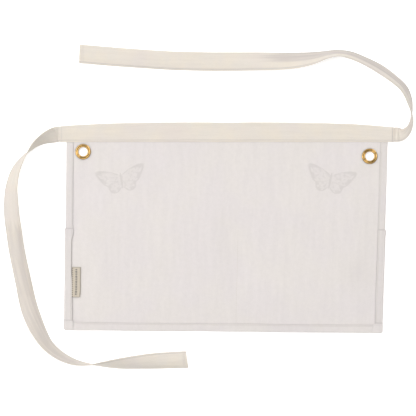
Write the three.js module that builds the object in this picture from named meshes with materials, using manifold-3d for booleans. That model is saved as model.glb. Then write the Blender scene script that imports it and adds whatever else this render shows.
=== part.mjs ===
// A waist apron laid flat with its back up: a cotton body with turned hems, a pocket across the
// lower half of its front, a folded tape waistband, a long tie at each end of it, two brass
// eyelets and a folded label. Millimetres; +X runs along the waistband, +Y from the bottom hem
// towards the waistband and +Z from the front of the apron to its back. The origin is the
// middle of the waistband's front face.

import * as THREE from "three";
import { mergeVertices } from "three/addons/utils/BufferGeometryUtils.js";
import Module from "manifold-3d";

const wasm = await Module();
wasm.setup();
const mergeWithin = 1e-5; // vertices this close are one

// Cloth, and the room left between pieces that lie on each other
const cloth = 0.6; // body and pocket
const tape = 0.9; // waistband, which is a doubled tape
const tieCloth = 1.2; // ties, which are folded in four
const gap = 0.3;
const weld = 0.1; // how far strips that are joined to one solid reach into each other

// Body
const panelWidth = 500;
const panelDrop = 295; // from the waistband's lower edge to the bottom hem's edge
const panelTuck = 12; // how far the body goes up inside the waistband
const sideHem = 11;
const bottomHem = 12;
const crown = 2.6; // how far the body stands off the pocket in the middle
const crownRise = 45; // how far in from a seam it takes to stand off as much
const crownMouth = 15; // the full height reaches this far above the pocket's mouth
const panelStride = 15; // between the rows and columns of its mesh, at most
const flatBelowEyelets = 20; // the body lies flat again from this far below the lower eyelet

// Pocket
const pocketHeight = 159;
const pocketHem = 20;
const dividerX = 20; // the seam that parts the pocket in two
const cornerFold = 15; // the thick square where the bottom hem crosses a side hem
const cornerRise = 0.9;

// Waistband
const bandHeight = 30.5;
const bandLeftHeight = 24.5; // its fold comes down towards the ends
const bandRightHeight = 22.8;
const bandOverhang = 10; // past each side of the body
const bandSteps = 28;
const bandArch = 3.5; // power of the curve in which its top edge comes down
const bandFoldSteps = 4;
const seamEndInset = 2.5; // the waistband's stitching ends this far from its ends

// Ties
const tieWidth = 29.2;
const tieEndInset = 0.8; // the tie's end is this much narrower than the waistband, each edge
const tieFullFrom = 22; // length over which a tie widens to tieWidth
const tieSettle = 25; // length over which it comes down to the table
const foldGap = 3; // the bare seam on which a tie folds
const tieSteps = 84;
const flatCup = 1e-4; // a tie cupped by less than this angle counts as flat
const tieStepsAcross = 4;

// Eyelets, each a flanged barrel at the front with its mouth rolled over a washer at the back
const boreRadius = 7;
const barrelWall = 0.6;
const barrelClearance = 0.3;
const flangeRadius = 11.8;
const flangeThickness = 1.0;
const washerRadius = 12.1;
const washerRim = 0.5; // thickness at its outer edge
const washerCrown = 1.8; // thickness at its highest
const washerSeat = 1.1; // thickness under the rolled lip
const washerShoulder = 0.87; // thickness beside its highest ring, as a share of washerCrown
const lipReach = 1.7; // how far the lip rolls out from the barrel
const lipThickness = 0.8;
const roundSteps = 32;
const eyeletLeft = { side: 26.3, below: 15.3 }; // from the side edge and the waistband's edge
const eyeletRight = { side: 27.4, below: 22 };

// Label, a woven strip folded in two and caught in the left hem
const labelWidth = 13.4;
const labelHeight = 47;
const labelLeaf = 0.3;
const labelLow = 51.5; // its lower end is this far above the bottom hem's edge
const labelRaise = 0.7; // it lies over the edge of the crown
const labelFoldSteps = 3;

// Seam threads
const threadWidth = 0.6;
const threadHeight = 0.3;
const hemSeamInset = 1.6; // from a hem's inner edge
const bandSeamInset = 3.2; // from the waistband's lower edge
const tieSeamInset = 2.6; // from the waistband's end
const seamClearance = 0.8; // between the ends of two seams that meet
const hemSeamStep = 3; // length over which a seam climbs to the pocket's turned edge

// How the cloth happens to lie: not quite square
const lean = 6; // the bottom edge lies this far to the left of the top
const taper = 2.8; // and each side edge this far in at the bottom
const bottomSlope = 2.5; // and its right end this far down, its left end this far up

// Heights of the layers
const mouthTop = 2 * cloth; // the pocket's hem, folded inwards
const bodyBottom = mouthTop + gap;
const bodyTop = bodyBottom + cloth;
const hemTop = bodyTop + 2 * cloth;
const lipBottom = hemTop + gap;
const lipTop = lipBottom + cloth;
const bandTop = bodyTop + gap + tape;

// Places that several pieces share
const bandLow = -bandHeight / 2;
const bandHalf = panelWidth / 2 + bandOverhang;
const outerBottom = bandLow - panelDrop;
const mouthY = outerBottom + pocketHeight;
const wrap = cloth + gap; // the pocket's turned edge, outside the body's edge
const bodyLow = outerBottom + wrap;
const hemLineX = panelWidth / 2 - sideHem;
const hemLineY = outerBottom + bottomHem;
const crownTop = mouthY + crownMouth;
const lowerEyelet = Math.max(eyeletLeft.below, eyeletRight.below);
const flatY = bandLow - lowerEyelet - washerRadius - flatBelowEyelets;
const cornerX = panelWidth / 2 + wrap - cornerFold;
const cornerY = outerBottom + cornerFold;
const tieStart = bandHalf + foldGap;

// Where each tie lies, from the seam outwards: x from the seam, y, how far it is rolled about
// its own line, and how far it is cupped, both in degrees. A roll of 90 stands it on its edge
// and one of 180 turns it over. The first point is the seam.
const routeDrop = 295; // the drop for which the points were chosen
const rightRoute = [
  [0, null, 0, 0],
  [6, -3.5, 16, 2],
  [13, -1, 54, 4],
  [20.5, 9, 79, 8],
  [23, 24, 94, 8],
  [20, 46, 113, 8],
  [12, 66, 121, 8],
  [-2, 80, 122, 6],
  [-24, 96, 125, 6],
  [-50, 110, 121, 6],
  [-72, 119, 119, 8],
  [-91, 122, 115, 10],
  [-109, 119.5, 119, 10],
  [-128, 115, 133, 6],
  [-148, 112, 147, 0],
  [-170, 110.5, 157, -4],
  [-205, 110, 168, -6],
  [-250, 110, 176, -8],
  [-300, 110, 180, -8],
  [-350, 111.5, 180, -14],
  [-400, 114.5, 180, -14],
  [-450, 118.5, 180, -8],
  [-493, 122, 180, -6],
];
const leftRoute = [
  [0, null, 0, 0],
  [-11, -6.5, 42, 4],
  [-23.5, -12, 65, 8],
  [-35, -20, 77, 8],
  [-42, -27.5, 88, 8],
  [-49, -35, 101, 6],
  [-55, -43, 110, 0],
  [-65, -61, 124, -10],
  [-71, -85, 136, -20],
  [-72, -108, 149, -30],
  [-71, -132, 159, -40],
  [-68, -155, 164, -46],
  [-65, -178, 167, -50],
  [-56, -223, 171, -52],
  [-46, -269, 186, -48],
  [-38, -291, 205, -40],
  [-28, -312, 223, -30],
  [-15, -331, 238, -20],
  [3, -346, 248, -12],
  [24, -356, 257, -6],
  [47, -360, 270, 2],
  [71, -360, 290, 12],
  [94, -359, 307, 26],
  [117, -357.5, 322, 38],
  [141, -356, 336, 46],
  [164, -355, 348, 50],
  [201, -354, 356, 50],
];

const cottonWhite = new THREE.MeshStandardMaterial({ color: 0xe7e1e0, roughness: 0.92, metalness: 0 });
const tapeCream = new THREE.MeshStandardMaterial({ color: 0xe9e1d3, roughness: 0.9, metalness: 0 });
const brass = new THREE.MeshStandardMaterial({ color: 0xc79a45, roughness: 0.25, metalness: 1 });
const labelBeige = new THREE.MeshStandardMaterial({ color: 0xdccfb8, roughness: 0.85, metalness: 0 });
const threadWhite = new THREE.MeshStandardMaterial({ color: 0xf0ebe2, roughness: 0.7, metalness: 0 });

const apron = new THREE.Group();

function add(name, geometry, material, place) {
  const mesh = new THREE.Mesh(geometry, material);
  mesh.name = name;
  if (place) mesh.position.copy(place);
  apron.add(mesh);
}

function smooth(t) {
  const u = Math.min(1, Math.max(0, t));
  return u * u * (3 - 2 * u);
}

// ---- Solids and their booleans

function toSolid(geometry) {
  const bare = geometry.clone();
  bare.deleteAttribute("normal");
  bare.deleteAttribute("uv");
  const merged = mergeVertices(bare, mergeWithin);
  const vertProperties = new Float32Array(merged.attributes.position.array);
  const triVerts = new Uint32Array(merged.index.array);
  return new wasm.Manifold(new wasm.Mesh({ numProp: 3, vertProperties, triVerts }));
}

function toGeometry(solid) {
  const mesh = solid.getMesh();
  const geometry = new THREE.BufferGeometry();
  const positions = new Float32Array((mesh.vertProperties.length / mesh.numProp) * 3);
  for (let i = 0; i < positions.length / 3; i++) {
    for (let k = 0; k < 3; k++) positions[3 * i + k] = mesh.vertProperties[i * mesh.numProp + k];
  }
  geometry.setAttribute("position", new THREE.BufferAttribute(positions, 3));
  geometry.setIndex(Array.from(mesh.triVerts));
  return geometry;
}

function join(geometries) {
  return toGeometry(geometries.map(toSolid).reduce((whole, piece) => whole.add(piece)));
}

function cut(geometry, cutters) {
  return toGeometry(cutters.reduce((whole, tool) => whole.subtract(toSolid(tool)), toSolid(geometry)));
}

function box(low, high) {
  const size = high.map((value, k) => value - low[k]);
  const geometry = new THREE.BoxGeometry(...size);
  return geometry.translate(...low.map((value, k) => value + size[k] / 2));
}

// Moves every vertex of a geometry to where a function of its place says
function bend(geometry, where) {
  const spot = geometry.attributes.position;
  const point = new THREE.Vector3();
  for (let i = 0; i < spot.count; i++) {
    point.fromBufferAttribute(spot, i);
    where(point);
    spot.setXYZ(i, point.x, point.y, point.z);
  }
  geometry.computeVertexNormals();
  return geometry;
}

// The body, pocket, label and seams are drawn square and then laid a little askew
function layPoint(point) {
  const depth = (bandLow - point.y) / panelDrop;
  const across = point.x / (panelWidth / 2);
  point.x -= depth * (lean + taper * across);
  point.y -= depth * bottomSlope * across;
}

function lay(geometry) {
  return bend(geometry, layPoint);
}

// ---- Body and pocket

// How high the body stands off its flat lie at a place
function crownAt(x, y) {
  const fromHem = hemLineX - Math.abs(x);
  const fromSeam = Math.min(fromHem, Math.abs(x - dividerX));
  const aboveMouth = smooth((y - mouthY) / crownRise);
  const inside = smooth(fromSeam / crownRise) * (1 - aboveMouth);
  const across = inside + smooth(fromHem / crownRise) * aboveMouth;
  const up = smooth((y - hemLineY) / crownRise);
  const fade = 1 - smooth((y - crownTop) / (flatY - crownTop));
  return crown * across * up * fade;
}

// Stations from one value to another, at least as close as a stride
function stations(from, to, stride) {
  const count = Math.max(1, Math.ceil((to - from) / stride));
  return Array.from({ length: count }, (_, k) => from + ((to - from) * k) / count);
}

function bodyPlate() {
  const half = panelWidth / 2;
  const xs = [
    ...stations(-half, -hemLineX, sideHem),
    ...stations(-hemLineX, dividerX, panelStride),
    ...stations(dividerX, hemLineX, panelStride),
    ...stations(hemLineX, half, sideHem),
    half,
  ];
  const ys = [
    bodyLow,
    ...stations(hemLineY, mouthY, panelStride),
    ...stations(mouthY, flatY, panelStride),
    flatY,
    bandLow + panelTuck,
  ];
  const grid = new THREE.BoxGeometry(1, 1, cloth, xs.length - 1, ys.length - 1, 1);
  return bend(grid, (point) => {
    point.x = xs[Math.round((point.x + 0.5) * (xs.length - 1))];
    point.y = ys[Math.round((point.y + 0.5) * (ys.length - 1))];
    point.z += bodyBottom + cloth / 2 + crownAt(point.x, point.y);
  });
}

function bodyPanel(holes) {
  const half = panelWidth / 2;
  const low = bodyTop - weld;
  const hemEnd = bandLow - gap;
  const whole = join([
    bodyPlate(),
    box([-half, bodyLow, low], [-hemLineX, hemEnd, hemTop]),
    box([hemLineX, bodyLow, low], [half, hemEnd, hemTop]),
    box([-half, bodyLow, low], [half, hemLineY, hemTop]),
  ]);
  const radius = boreRadius + barrelWall + barrelClearance;
  const depth = 4 * bandTop;
  const drills = holes.map(({ x, y }) => {
    const drill = new THREE.CylinderGeometry(radius, radius, depth, roundSteps);
    return drill.rotateX(Math.PI / 2).translate(x, y, 0);
  });
  return cut(lay(whole), drills);
}

// The front layer, with its side and bottom edges turned over the body's hems to the back
function pocketPanel() {
  const half = panelWidth / 2 + wrap;
  const walls = [-1, 1].flatMap((side) => {
    const [near, far] = side < 0 ? [-half, -half + cloth] : [half - cloth, half];
    const [lipNear, lipFar] = side < 0 ? [-half, -hemLineX] : [hemLineX, half];
    const [foldNear, foldFar] = side < 0 ? [-half, -cornerX] : [cornerX, half];
    return [
      box([near, outerBottom, 0], [far, mouthY, lipTop]),
      box([lipNear, outerBottom, lipBottom], [lipFar, mouthY, lipTop]),
      box([foldNear, outerBottom, lipTop - weld], [foldFar, cornerY, lipTop + cornerRise]),
    ];
  });
  return lay(
    join([
      box([-half, outerBottom, 0], [half, mouthY, cloth]),
      box([-half, mouthY - pocketHem, cloth - weld], [half, mouthY, mouthTop]),
      box([-half, outerBottom, 0], [half, outerBottom + cloth, lipTop]),
      box([-half, outerBottom, lipBottom], [half, hemLineY, lipTop]),
      ...walls,
    ]),
  );
}

// ---- Waistband

// Height of the waistband at a place along it
function bandHeightAt(x) {
  const endHeight = x < 0 ? bandLeftHeight : bandRightHeight;
  return bandHeight - (bandHeight - endHeight) * (Math.abs(x) / bandHalf) ** bandArch;
}

// The tape's section: two leaves joined by a round fold, open at the lower edge
function bandOutline() {
  const shape = new THREE.Shape();
  const outer = bandTop / 2;
  const inner = outer - tape;
  const foldY = bandHeight / 2 - outer;
  shape.moveTo(bandLow, 0);
  shape.lineTo(foldY, 0);
  shape.absarc(foldY, outer, outer, -Math.PI / 2, Math.PI / 2, false);
  shape.lineTo(bandLow, bandTop);
  shape.lineTo(bandLow, bandTop - tape);
  shape.lineTo(foldY, bandTop - tape);
  shape.absarc(foldY, outer, inner, Math.PI / 2, -Math.PI / 2, true);
  shape.lineTo(bandLow, tape);
  shape.closePath();
  return shape;
}

function waistband() {
  const settings = {
    depth: 2 * bandHalf,
    steps: bandSteps,
    bevelEnabled: false,
    curveSegments: bandFoldSteps,
  };
  const geometry = new THREE.ExtrudeGeometry(bandOutline(), settings);
  const along = new THREE.Vector3(1, 0, 0);
  const up = new THREE.Vector3(0, 1, 0);
  const back = new THREE.Vector3(0, 0, 1);
  geometry.applyMatrix4(new THREE.Matrix4().makeBasis(up, back, along));
  geometry.translate(-bandHalf, 0, 0);
  return bend(geometry, (point) => {
    point.y = bandLow + ((point.y - bandLow) * bandHeightAt(point.x)) / bandHeight;
  });
}

// ---- Ties

// A ribbon along a route: side is 1 for the right tie and -1 for the left
function tie(route, side) {
  const seamHeight = bandHeightAt(side * bandHalf);
  const seamWidth = seamHeight - 2 * tieEndInset;
  const seamMiddle = bandLow + seamHeight / 2;
  const growth = panelDrop - routeDrop;
  const bottom = Math.min(...route.map(([, y]) => y ?? 0));
  const along = route.map(([dx, y]) => {
    const routeY = y ?? seamMiddle;
    const share = bottom < bandLow ? Math.min(1, Math.max(0, routeY / bottom)) : 0;
    return new THREE.Vector3(side * tieStart + dx, routeY - growth * share, 0);
  });
  const path = new THREE.CatmullRomCurve3(along);
  const lie = new THREE.CatmullRomCurve3(route.map(([, , roll, cup]) => new THREE.Vector3(roll, cup, 0)));
  path.arcLengthDivisions = 1000;
  const length = path.getLength();

  // One cross-section: the offsets of its points to the side and up, by shares of its width
  function section(t, reach) {
    const state = lie.getPoint(t);
    const roll = THREE.MathUtils.degToRad(state.x);
    const cup = THREE.MathUtils.degToRad(state.y);
    const width = THREE.MathUtils.lerp(seamWidth, tieWidth, smooth(reach / tieFullFrom));
    return (share, depth) => {
      const turn = 2 * cup * share;
      const radius = Math.abs(cup) > flatCup ? width / (2 * cup) : 0;
      const flat = radius ? (radius + depth) * Math.sin(turn) : width * share;
      const rise = radius ? (radius + depth) * Math.cos(turn) - radius * Math.cos(cup) : depth;
      return [
        flat * Math.cos(roll) - rise * Math.sin(roll),
        flat * Math.sin(roll) + rise * Math.cos(roll),
      ];
    };
  }

  const ribbon = new THREE.BoxGeometry(1, 1, tieCloth, tieSteps, tieStepsAcross, 1);
  const start = path.getPoint(0);
  return bend(ribbon, (point) => {
    const u = point.x + 0.5;
    const t = path.getUtoTmapping(u);
    const reach = u * length;
    const place = section(t, reach);
    const shares = Array.from({ length: tieStepsAcross + 1 }, (_, k) => k / tieStepsAcross - 0.5);
    const lows = shares.flatMap((share) => [-0.5, 0.5].map((face) => place(share, face * tieCloth)[1]));
    const [outward, rise] = place(-point.y, point.z);
    const centre = path.getPoint(t);
    const ahead = u === 0 ? new THREE.Vector3(side, 0, 0) : path.getTangent(t);
    const lift = (bandTop / 2 - tieCloth / 2) * (1 - smooth(reach / tieSettle));
    point.x = u === 0 ? start.x : centre.x + ahead.y * outward;
    point.y = centre.y - ahead.x * outward;
    point.z = rise - Math.min(...lows) + lift;
  });
}

// ---- Eyelets

// A ring turned about its own axis from a profile of [radius, height] points
function turned(profile) {
  const points = [...profile, profile[0]].map(([radius, height]) => new THREE.Vector2(radius, height));
  return new THREE.LatheGeometry(points, roundSteps).rotateX(Math.PI / 2);
}

const washerBottom = bodyTop + gap;
const lipUnder = washerBottom + washerSeat + gap;
const lipOver = lipUnder + lipThickness;
const flangeFace = bodyBottom - gap - flangeThickness;

function eyelet() {
  const outer = boreRadius + barrelWall;
  const under = bodyBottom - gap;
  const soften = flangeThickness / 4;
  return turned([
    [boreRadius + soften, flangeFace],
    [flangeRadius - soften, flangeFace],
    [flangeRadius, flangeFace + soften],
    [flangeRadius, under],
    [outer, under],
    [outer, lipUnder],
    [outer + lipReach, lipUnder],
    [outer + lipReach, lipUnder + lipThickness / 2],
    [outer + lipReach / 2, lipOver],
    [boreRadius + barrelWall / 2, lipOver],
    [boreRadius, lipUnder],
    [boreRadius, flangeFace + soften],
  ]);
}

function washer() {
  const inner = boreRadius + barrelWall + barrelClearance;
  const seat = boreRadius + barrelWall + lipReach + barrelClearance;
  const middle = (seat + washerRadius) / 2;
  return turned([
    [inner, washerBottom],
    [washerRadius - washerRim / 2, washerBottom],
    [washerRadius, washerBottom + washerRim / 2],
    [washerRadius - washerRim / 4, washerBottom + washerRim],
    [middle + (washerRadius - middle) / 2, washerBottom + washerShoulder * washerCrown],
    [middle, washerBottom + washerCrown],
    [seat, washerBottom + washerShoulder * washerCrown],
    [seat, washerBottom + washerSeat],
    [inner, washerBottom + washerSeat],
  ]);
}

// ---- Label

// A strip folded in two, its fold at the free edge and its two ends at the hem
function label() {
  const shape = new THREE.Shape();
  const thick = 2 * labelLeaf + gap;
  const left = -hemLineX + gap;
  const right = left + labelWidth;
  const bottom = bodyTop + gap + labelRaise;
  const bar = right - thick / 2;
  shape.moveTo(left, bottom);
  shape.lineTo(bar, bottom);
  shape.absarc(bar, bottom + thick / 2, thick / 2, -Math.PI / 2, Math.PI / 2, false);
  shape.lineTo(left, bottom + thick);
  shape.lineTo(left, bottom + thick - labelLeaf);
  shape.lineTo(bar, bottom + thick - labelLeaf);
  shape.absarc(bar, bottom + thick / 2, gap / 2, Math.PI / 2, -Math.PI / 2, true);
  shape.lineTo(left, bottom + labelLeaf);
  shape.closePath();
  const settings = { depth: labelHeight, bevelEnabled: false, curveSegments: labelFoldSteps };
  const geometry = new THREE.ExtrudeGeometry(shape, settings);
  geometry.rotateX(Math.PI / 2);
  geometry.translate(0, outerBottom + labelLow + labelHeight, 0);
  return lay(geometry);
}

// ---- Seam threads, each one continuous line of stitching

function seam(low, high, height) {
  return box([low[0], low[1], height + gap], [high[0], high[1], height + gap + threadHeight]);
}

function acrossSeam(fromX, toX, y, height) {
  return seam([fromX, y - threadWidth / 2], [toX, y + threadWidth / 2], height);
}

function downSeam(x, fromY, toY, height) {
  return seam([x - threadWidth / 2, fromY], [x + threadWidth / 2, toY], height);
}

// A side hem's seam: it climbs from the body's hem to the pocket's turned edge
function sideSeam(side) {
  const x = side * (hemLineX + hemSeamInset);
  const from = cornerY + seamClearance;
  const climbFrom = mouthY + gap;
  const ys = [from, climbFrom, climbFrom + hemSeamStep, bandLow - seamClearance];
  const line = new THREE.BoxGeometry(threadWidth, 1, threadHeight, 1, ys.length - 1, 1);
  const geometry = bend(line, (point) => {
    const k = Math.round((point.y + 0.5) * (ys.length - 1));
    const base = k < 2 ? lipTop : hemTop;
    point.x += x;
    point.y = ys[k];
    point.z += base + gap + threadHeight / 2;
  });
  return lay(geometry);
}

function bandSeam() {
  const half = bandHalf - seamEndInset;
  return acrossSeam(-half, half, bandLow + bandSeamInset, bandTop);
}

function tieSeam(side) {
  const x = side * (bandHalf - tieSeamInset);
  const fromY = bandLow + bandSeamInset + threadWidth + seamClearance;
  const toY = bandLow + bandHeightAt(x) - bandTop / 2;
  return downSeam(x, fromY, toY, bandTop);
}

function dividerSeam() {
  return lay(downSeam(dividerX, hemLineY + seamClearance, mouthY, bodyTop));
}

function bottomSeam() {
  const half = cornerX - seamClearance;
  return lay(acrossSeam(-half, half, hemLineY - hemSeamInset, lipTop));
}

// ---- The apron

// Middle of an eyelet, where the askew body carries it
function eyeletPlace(side, { side: fromSide, below }) {
  const point = new THREE.Vector3(side * (panelWidth / 2 - fromSide), bandLow - below, 0);
  layPoint(point);
  return point;
}

const leftHole = eyeletPlace(-1, eyeletLeft);
const rightHole = eyeletPlace(1, eyeletRight);

add("body_panel", bodyPanel([leftHole, rightHole]), cottonWhite);
add("pocket_panel", pocketPanel(), cottonWhite);
add("waistband", waistband(), tapeCream);
add("tie_left", tie(leftRoute, -1), tapeCream);
add("tie_right", tie(rightRoute, 1), tapeCream);
add("eyelet_left", eyelet(), brass, leftHole);
add("eyelet_right", eyelet(), brass, rightHole);
add("washer_left", washer(), brass, leftHole);
add("washer_right", washer(), brass, rightHole);
add("label", label(), labelBeige);
add("thread_waistband", bandSeam(), threadWhite);
add("thread_tie_left", tieSeam(-1), threadWhite);
add("thread_tie_right", tieSeam(1), threadWhite);
add("thread_hem_left", sideSeam(-1), threadWhite);
add("thread_hem_right", sideSeam(1), threadWhite);
add("thread_hem_bottom", bottomSeam(), threadWhite);
add("thread_pocket_divider", dividerSeam(), threadWhite);

export default apron;
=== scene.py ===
"""A waist apron laid flat with its back up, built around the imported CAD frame.

Lengths are in millimetres until a mesh is made, and the frame is the CAD's: +X along the
waistband, +Y from the bottom hem towards it, +Z from the front of the apron to its back.
"""

import math

import bmesh
import bpy
import numpy as np
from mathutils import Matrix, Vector


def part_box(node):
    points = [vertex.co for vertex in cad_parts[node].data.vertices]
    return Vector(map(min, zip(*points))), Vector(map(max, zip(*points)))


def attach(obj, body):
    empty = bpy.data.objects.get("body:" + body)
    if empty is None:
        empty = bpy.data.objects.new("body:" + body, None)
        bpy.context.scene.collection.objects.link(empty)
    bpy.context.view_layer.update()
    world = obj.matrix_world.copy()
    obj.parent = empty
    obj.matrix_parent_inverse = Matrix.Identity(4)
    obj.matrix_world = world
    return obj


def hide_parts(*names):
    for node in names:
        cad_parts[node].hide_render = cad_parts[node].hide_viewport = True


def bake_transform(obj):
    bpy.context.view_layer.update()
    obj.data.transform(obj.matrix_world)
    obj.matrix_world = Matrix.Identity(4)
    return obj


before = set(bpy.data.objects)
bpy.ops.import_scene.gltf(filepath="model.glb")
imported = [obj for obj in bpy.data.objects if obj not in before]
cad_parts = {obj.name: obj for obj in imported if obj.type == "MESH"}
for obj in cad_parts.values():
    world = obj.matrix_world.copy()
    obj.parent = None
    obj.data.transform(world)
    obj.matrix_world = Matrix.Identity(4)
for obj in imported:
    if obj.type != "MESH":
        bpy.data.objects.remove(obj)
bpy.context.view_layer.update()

MM = 0.001

# ---- Sizes, as in the CAD source but for the ties' roots, which widen more slowly here

CLOTH = 0.6
TAPE = 0.9
TIE_CLOTH = 1.2
GAP = 0.3
PANEL_WIDTH = 500
PANEL_DROP = 295
PANEL_TUCK = 12
SIDE_HEM = 11
BOTTOM_HEM = 12
CROWN = 2.6
CROWN_RISE = 45
CROWN_MOUTH = 15
FLAT_BELOW_EYELETS = 20
POCKET_HEIGHT = 159
POCKET_HEM = 20
POCKET_FOLD = 12
DIVIDER_X = 20
CORNER_FOLD = 15
CORNER_RISE = 0.9
BAND_HEIGHT = 30.5
BAND_END_HEIGHT = {-1: 24.5, 1: 22.8}
BAND_OVERHANG = 10
BAND_ARCH = 3.5
TIE_WIDTH = 29.2
TIE_FULL_FROM = 60
TIE_SETTLE = 25
TIE_SLANT = {-1: 2.8, 1: -1.5}  # how far one corner of the tie's end leads the other
FOLD_GAP = 3
HEM_SEAM_INSET = 1.6
BAND_SEAM_INSET = 3.2
TIE_SEAM_INSET = 2.6
LEAN = 6
TAPER = 2.8
BOTTOM_SLOPE = 2.5
WASHER_RADIUS = 12.1
BORE_RADIUS = 7
LABEL_LEAF = 0.3
LABEL_HEIGHT = 47.0
LABEL_DROP = 1.2  # how far the label lies below the middle of its CAD solid
EDGE_WANDER = 0.35  # how far the body's edges stray from straight
TIE_WAVE = 0.16  # how far the ties' face ripples

MOUTH_TOP = 2 * CLOTH
BODY_BOTTOM = MOUTH_TOP + GAP
BODY_TOP = BODY_BOTTOM + CLOTH
HEM_TOP = BODY_TOP + 2 * CLOTH
LIP_BOTTOM = HEM_TOP + GAP
LIP_TOP = LIP_BOTTOM + CLOTH
BAND_TOP = BODY_TOP + GAP + TAPE
BAND_LOW = -BAND_HEIGHT / 2
BAND_HALF = PANEL_WIDTH / 2 + BAND_OVERHANG
OUTER_BOTTOM = BAND_LOW - PANEL_DROP
MOUTH_Y = OUTER_BOTTOM + POCKET_HEIGHT
WRAP = CLOTH + GAP
HALF = PANEL_WIDTH / 2
OUTER_HALF = HALF + WRAP
BODY_LOW = OUTER_BOTTOM + WRAP
HEM_LINE_X = HALF - SIDE_HEM
HEM_LINE_Y = OUTER_BOTTOM + BOTTOM_HEM
CROWN_TOP = MOUTH_Y + CROWN_MOUTH
CORNER_X = OUTER_HALF - CORNER_FOLD
TIE_START = BAND_HALF + FOLD_GAP


def node_middle(name):
    """Middle of a CAD node's box, in millimetres."""
    low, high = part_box(name)
    return np.array((low + high) / 2) / MM


EYELETS = {-1: node_middle("eyelet_left"), 1: node_middle("eyelet_right")}
FLAT_Y = min(e[1] for e in EYELETS.values()) - WASHER_RADIUS - FLAT_BELOW_EYELETS

# Where each tie lies, from the seam outwards: x from the seam, y, roll about its own line and
# cup, both in degrees. A roll of 90 stands it on its edge. The first point is the seam.
RIGHT_ROUTE = [
    (0, None, 0, 0),
    (6, -3.5, 16, 2),
    (13, -1, 54, 4),
    (20.5, 9, 79, 8),
    (23, 24, 94, 8),
    (20, 46, 113, 8),
    (12, 66, 121, 8),
    (-2, 80, 122, 6),
    (-24, 96, 125, 6),
    (-50, 110, 121, 6),
    (-72, 119, 119, 8),
    (-91, 122, 115, 10),
    (-109, 119.5, 119, 10),
    (-128, 115, 133, 6),
    (-148, 112, 147, 0),
    (-170, 110.5, 157, -4),
    (-205, 110, 168, -6),
    (-250, 110, 176, -8),
    (-300, 110, 180, -8),
    (-350, 111.5, 180, -14),
    (-400, 114.5, 180, -14),
    (-450, 118.5, 180, -8),
    (-493, 122, 180, -6),
]
LEFT_ROUTE = [
    (0, None, 0, 0),
    (-11, -6.5, 33, 6),
    (-23.5, -12, 60, 10),
    (-35, -20, 77, 8),
    (-42, -27.5, 88, 8),
    (-49, -35, 101, 6),
    (-55, -43, 110, 0),
    (-65, -61, 124, -10),
    (-71, -85, 136, -20),
    (-72, -108, 149, -30),
    (-71, -132, 159, -40),
    (-68, -155, 164, -46),
    (-65, -178, 167, -50),
    (-56, -223, 171, -52),
    (-46, -269, 186, -48),
    (-38, -291, 205, -40),
    (-28, -312, 223, -30),
    (-15, -331, 238, -20),
    (3, -346, 248, -12),
    (24, -356, 257, -6),
    (47, -360, 270, 2),
    (71, -360, 290, 12),
    (94, -359, 307, 26),
    (117, -357.5, 322, 38),
    (141, -356, 336, 46),
    (164, -355, 348, 50),
    (201, -354, 356, 50),
]

# ---- Helpers


def smooth(t):
    u = np.clip(t, 0, 1)
    return u * u * (3 - 2 * u)


LATTICE = 64


def wander(x, y, size, seed):
    """Smooth random values from -1 to 1, about size apart."""
    grid = np.random.default_rng(seed).uniform(-1, 1, (LATTICE, LATTICE))
    u, v = np.asarray(x) / size, np.asarray(y) / size
    i, j = np.floor(u).astype(int), np.floor(v).astype(int)
    s, t = smooth(u - i), smooth(v - j)
    near = grid[i % LATTICE, j % LATTICE] * (1 - s) + grid[(i + 1) % LATTICE, j % LATTICE] * s
    up = (j + 1) % LATTICE
    far = grid[i % LATTICE, up] * (1 - s) + grid[(i + 1) % LATTICE, up] * s
    return near * (1 - t) + far * t


def place_piece(piece, body, node):
    """The body a piece rides on and the CAD node it stands for."""
    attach(piece, body)
    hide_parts(node)


class Shells:
    """Closed shells gathered into one mesh object."""

    def __init__(self):
        self.points, self.faces, self.slots, self.cloth, self.crease = [], [], [], [], []
        self.count = 0

    def add(self, points, faces, slots=0, cloth=None, crease=0):
        """cloth gives each point's place on the flat cloth, and crease how much painted shade it gets,
        from 0 to 1, most in folds and seams; on the brass it says how stained its grooves are."""
        points = np.asarray(points, float).reshape(-1, 3)
        cloth = points if cloth is None else np.asarray(cloth, float).reshape(-1, 3)
        self.points.append(points)
        self.cloth.append(cloth)
        self.crease.append(np.broadcast_to(np.ravel(crease), len(points)))
        self.faces += [tuple(int(i) + self.count for i in f) for f in faces]
        self.slots += list(slots) if np.ndim(slots) else [slots] * len(faces)
        self.count += len(points)

    def build(self, name, materials):
        points = np.concatenate(self.points)
        mesh = bpy.data.meshes.new(name)
        mesh.from_pydata((points * MM).tolist(), [], self.faces)
        for material in materials:
            mesh.materials.append(material)
        mesh.polygons.foreach_set("material_index", self.slots)
        mesh.polygons.foreach_set("use_smooth", [True] * len(self.faces))
        flat = mesh.attributes.new("cloth", "FLOAT_VECTOR", "POINT")
        flat.data.foreach_set("vector", (np.concatenate(self.cloth) * MM).ravel())
        deep = mesh.attributes.new("crease", "FLOAT", "POINT")
        deep.data.foreach_set("value", np.clip(np.concatenate(self.crease), 0, 1))
        tidy = bmesh.new()
        tidy.from_mesh(mesh)
        bmesh.ops.recalc_face_normals(tidy, faces=tidy.faces)
        tidy.to_mesh(mesh)
        tidy.free()
        obj = bpy.data.objects.new(name, mesh)
        bpy.context.scene.collection.objects.link(obj)
        return obj


def loft(rings, closed_ends=True):
    """Faces of closed rings that follow each other. Point k of a ring is paired with its
    point n-1-k across the cloth, so the end caps are strips of quads."""
    count, around = rings.shape[:2]
    faces = []
    for i in range(count - 1):
        for k in range(around):
            m = (k + 1) % around
            faces.append((i * around + k, i * around + m, (i + 1) * around + m, (i + 1) * around + k))
    if closed_ends:
        for start in (0, (count - 1) * around):
            for k in range(around // 2 - 1):
                faces.append((start + k, start + k + 1, start + around - 2 - k, start + around - 1 - k))
    return faces


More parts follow.
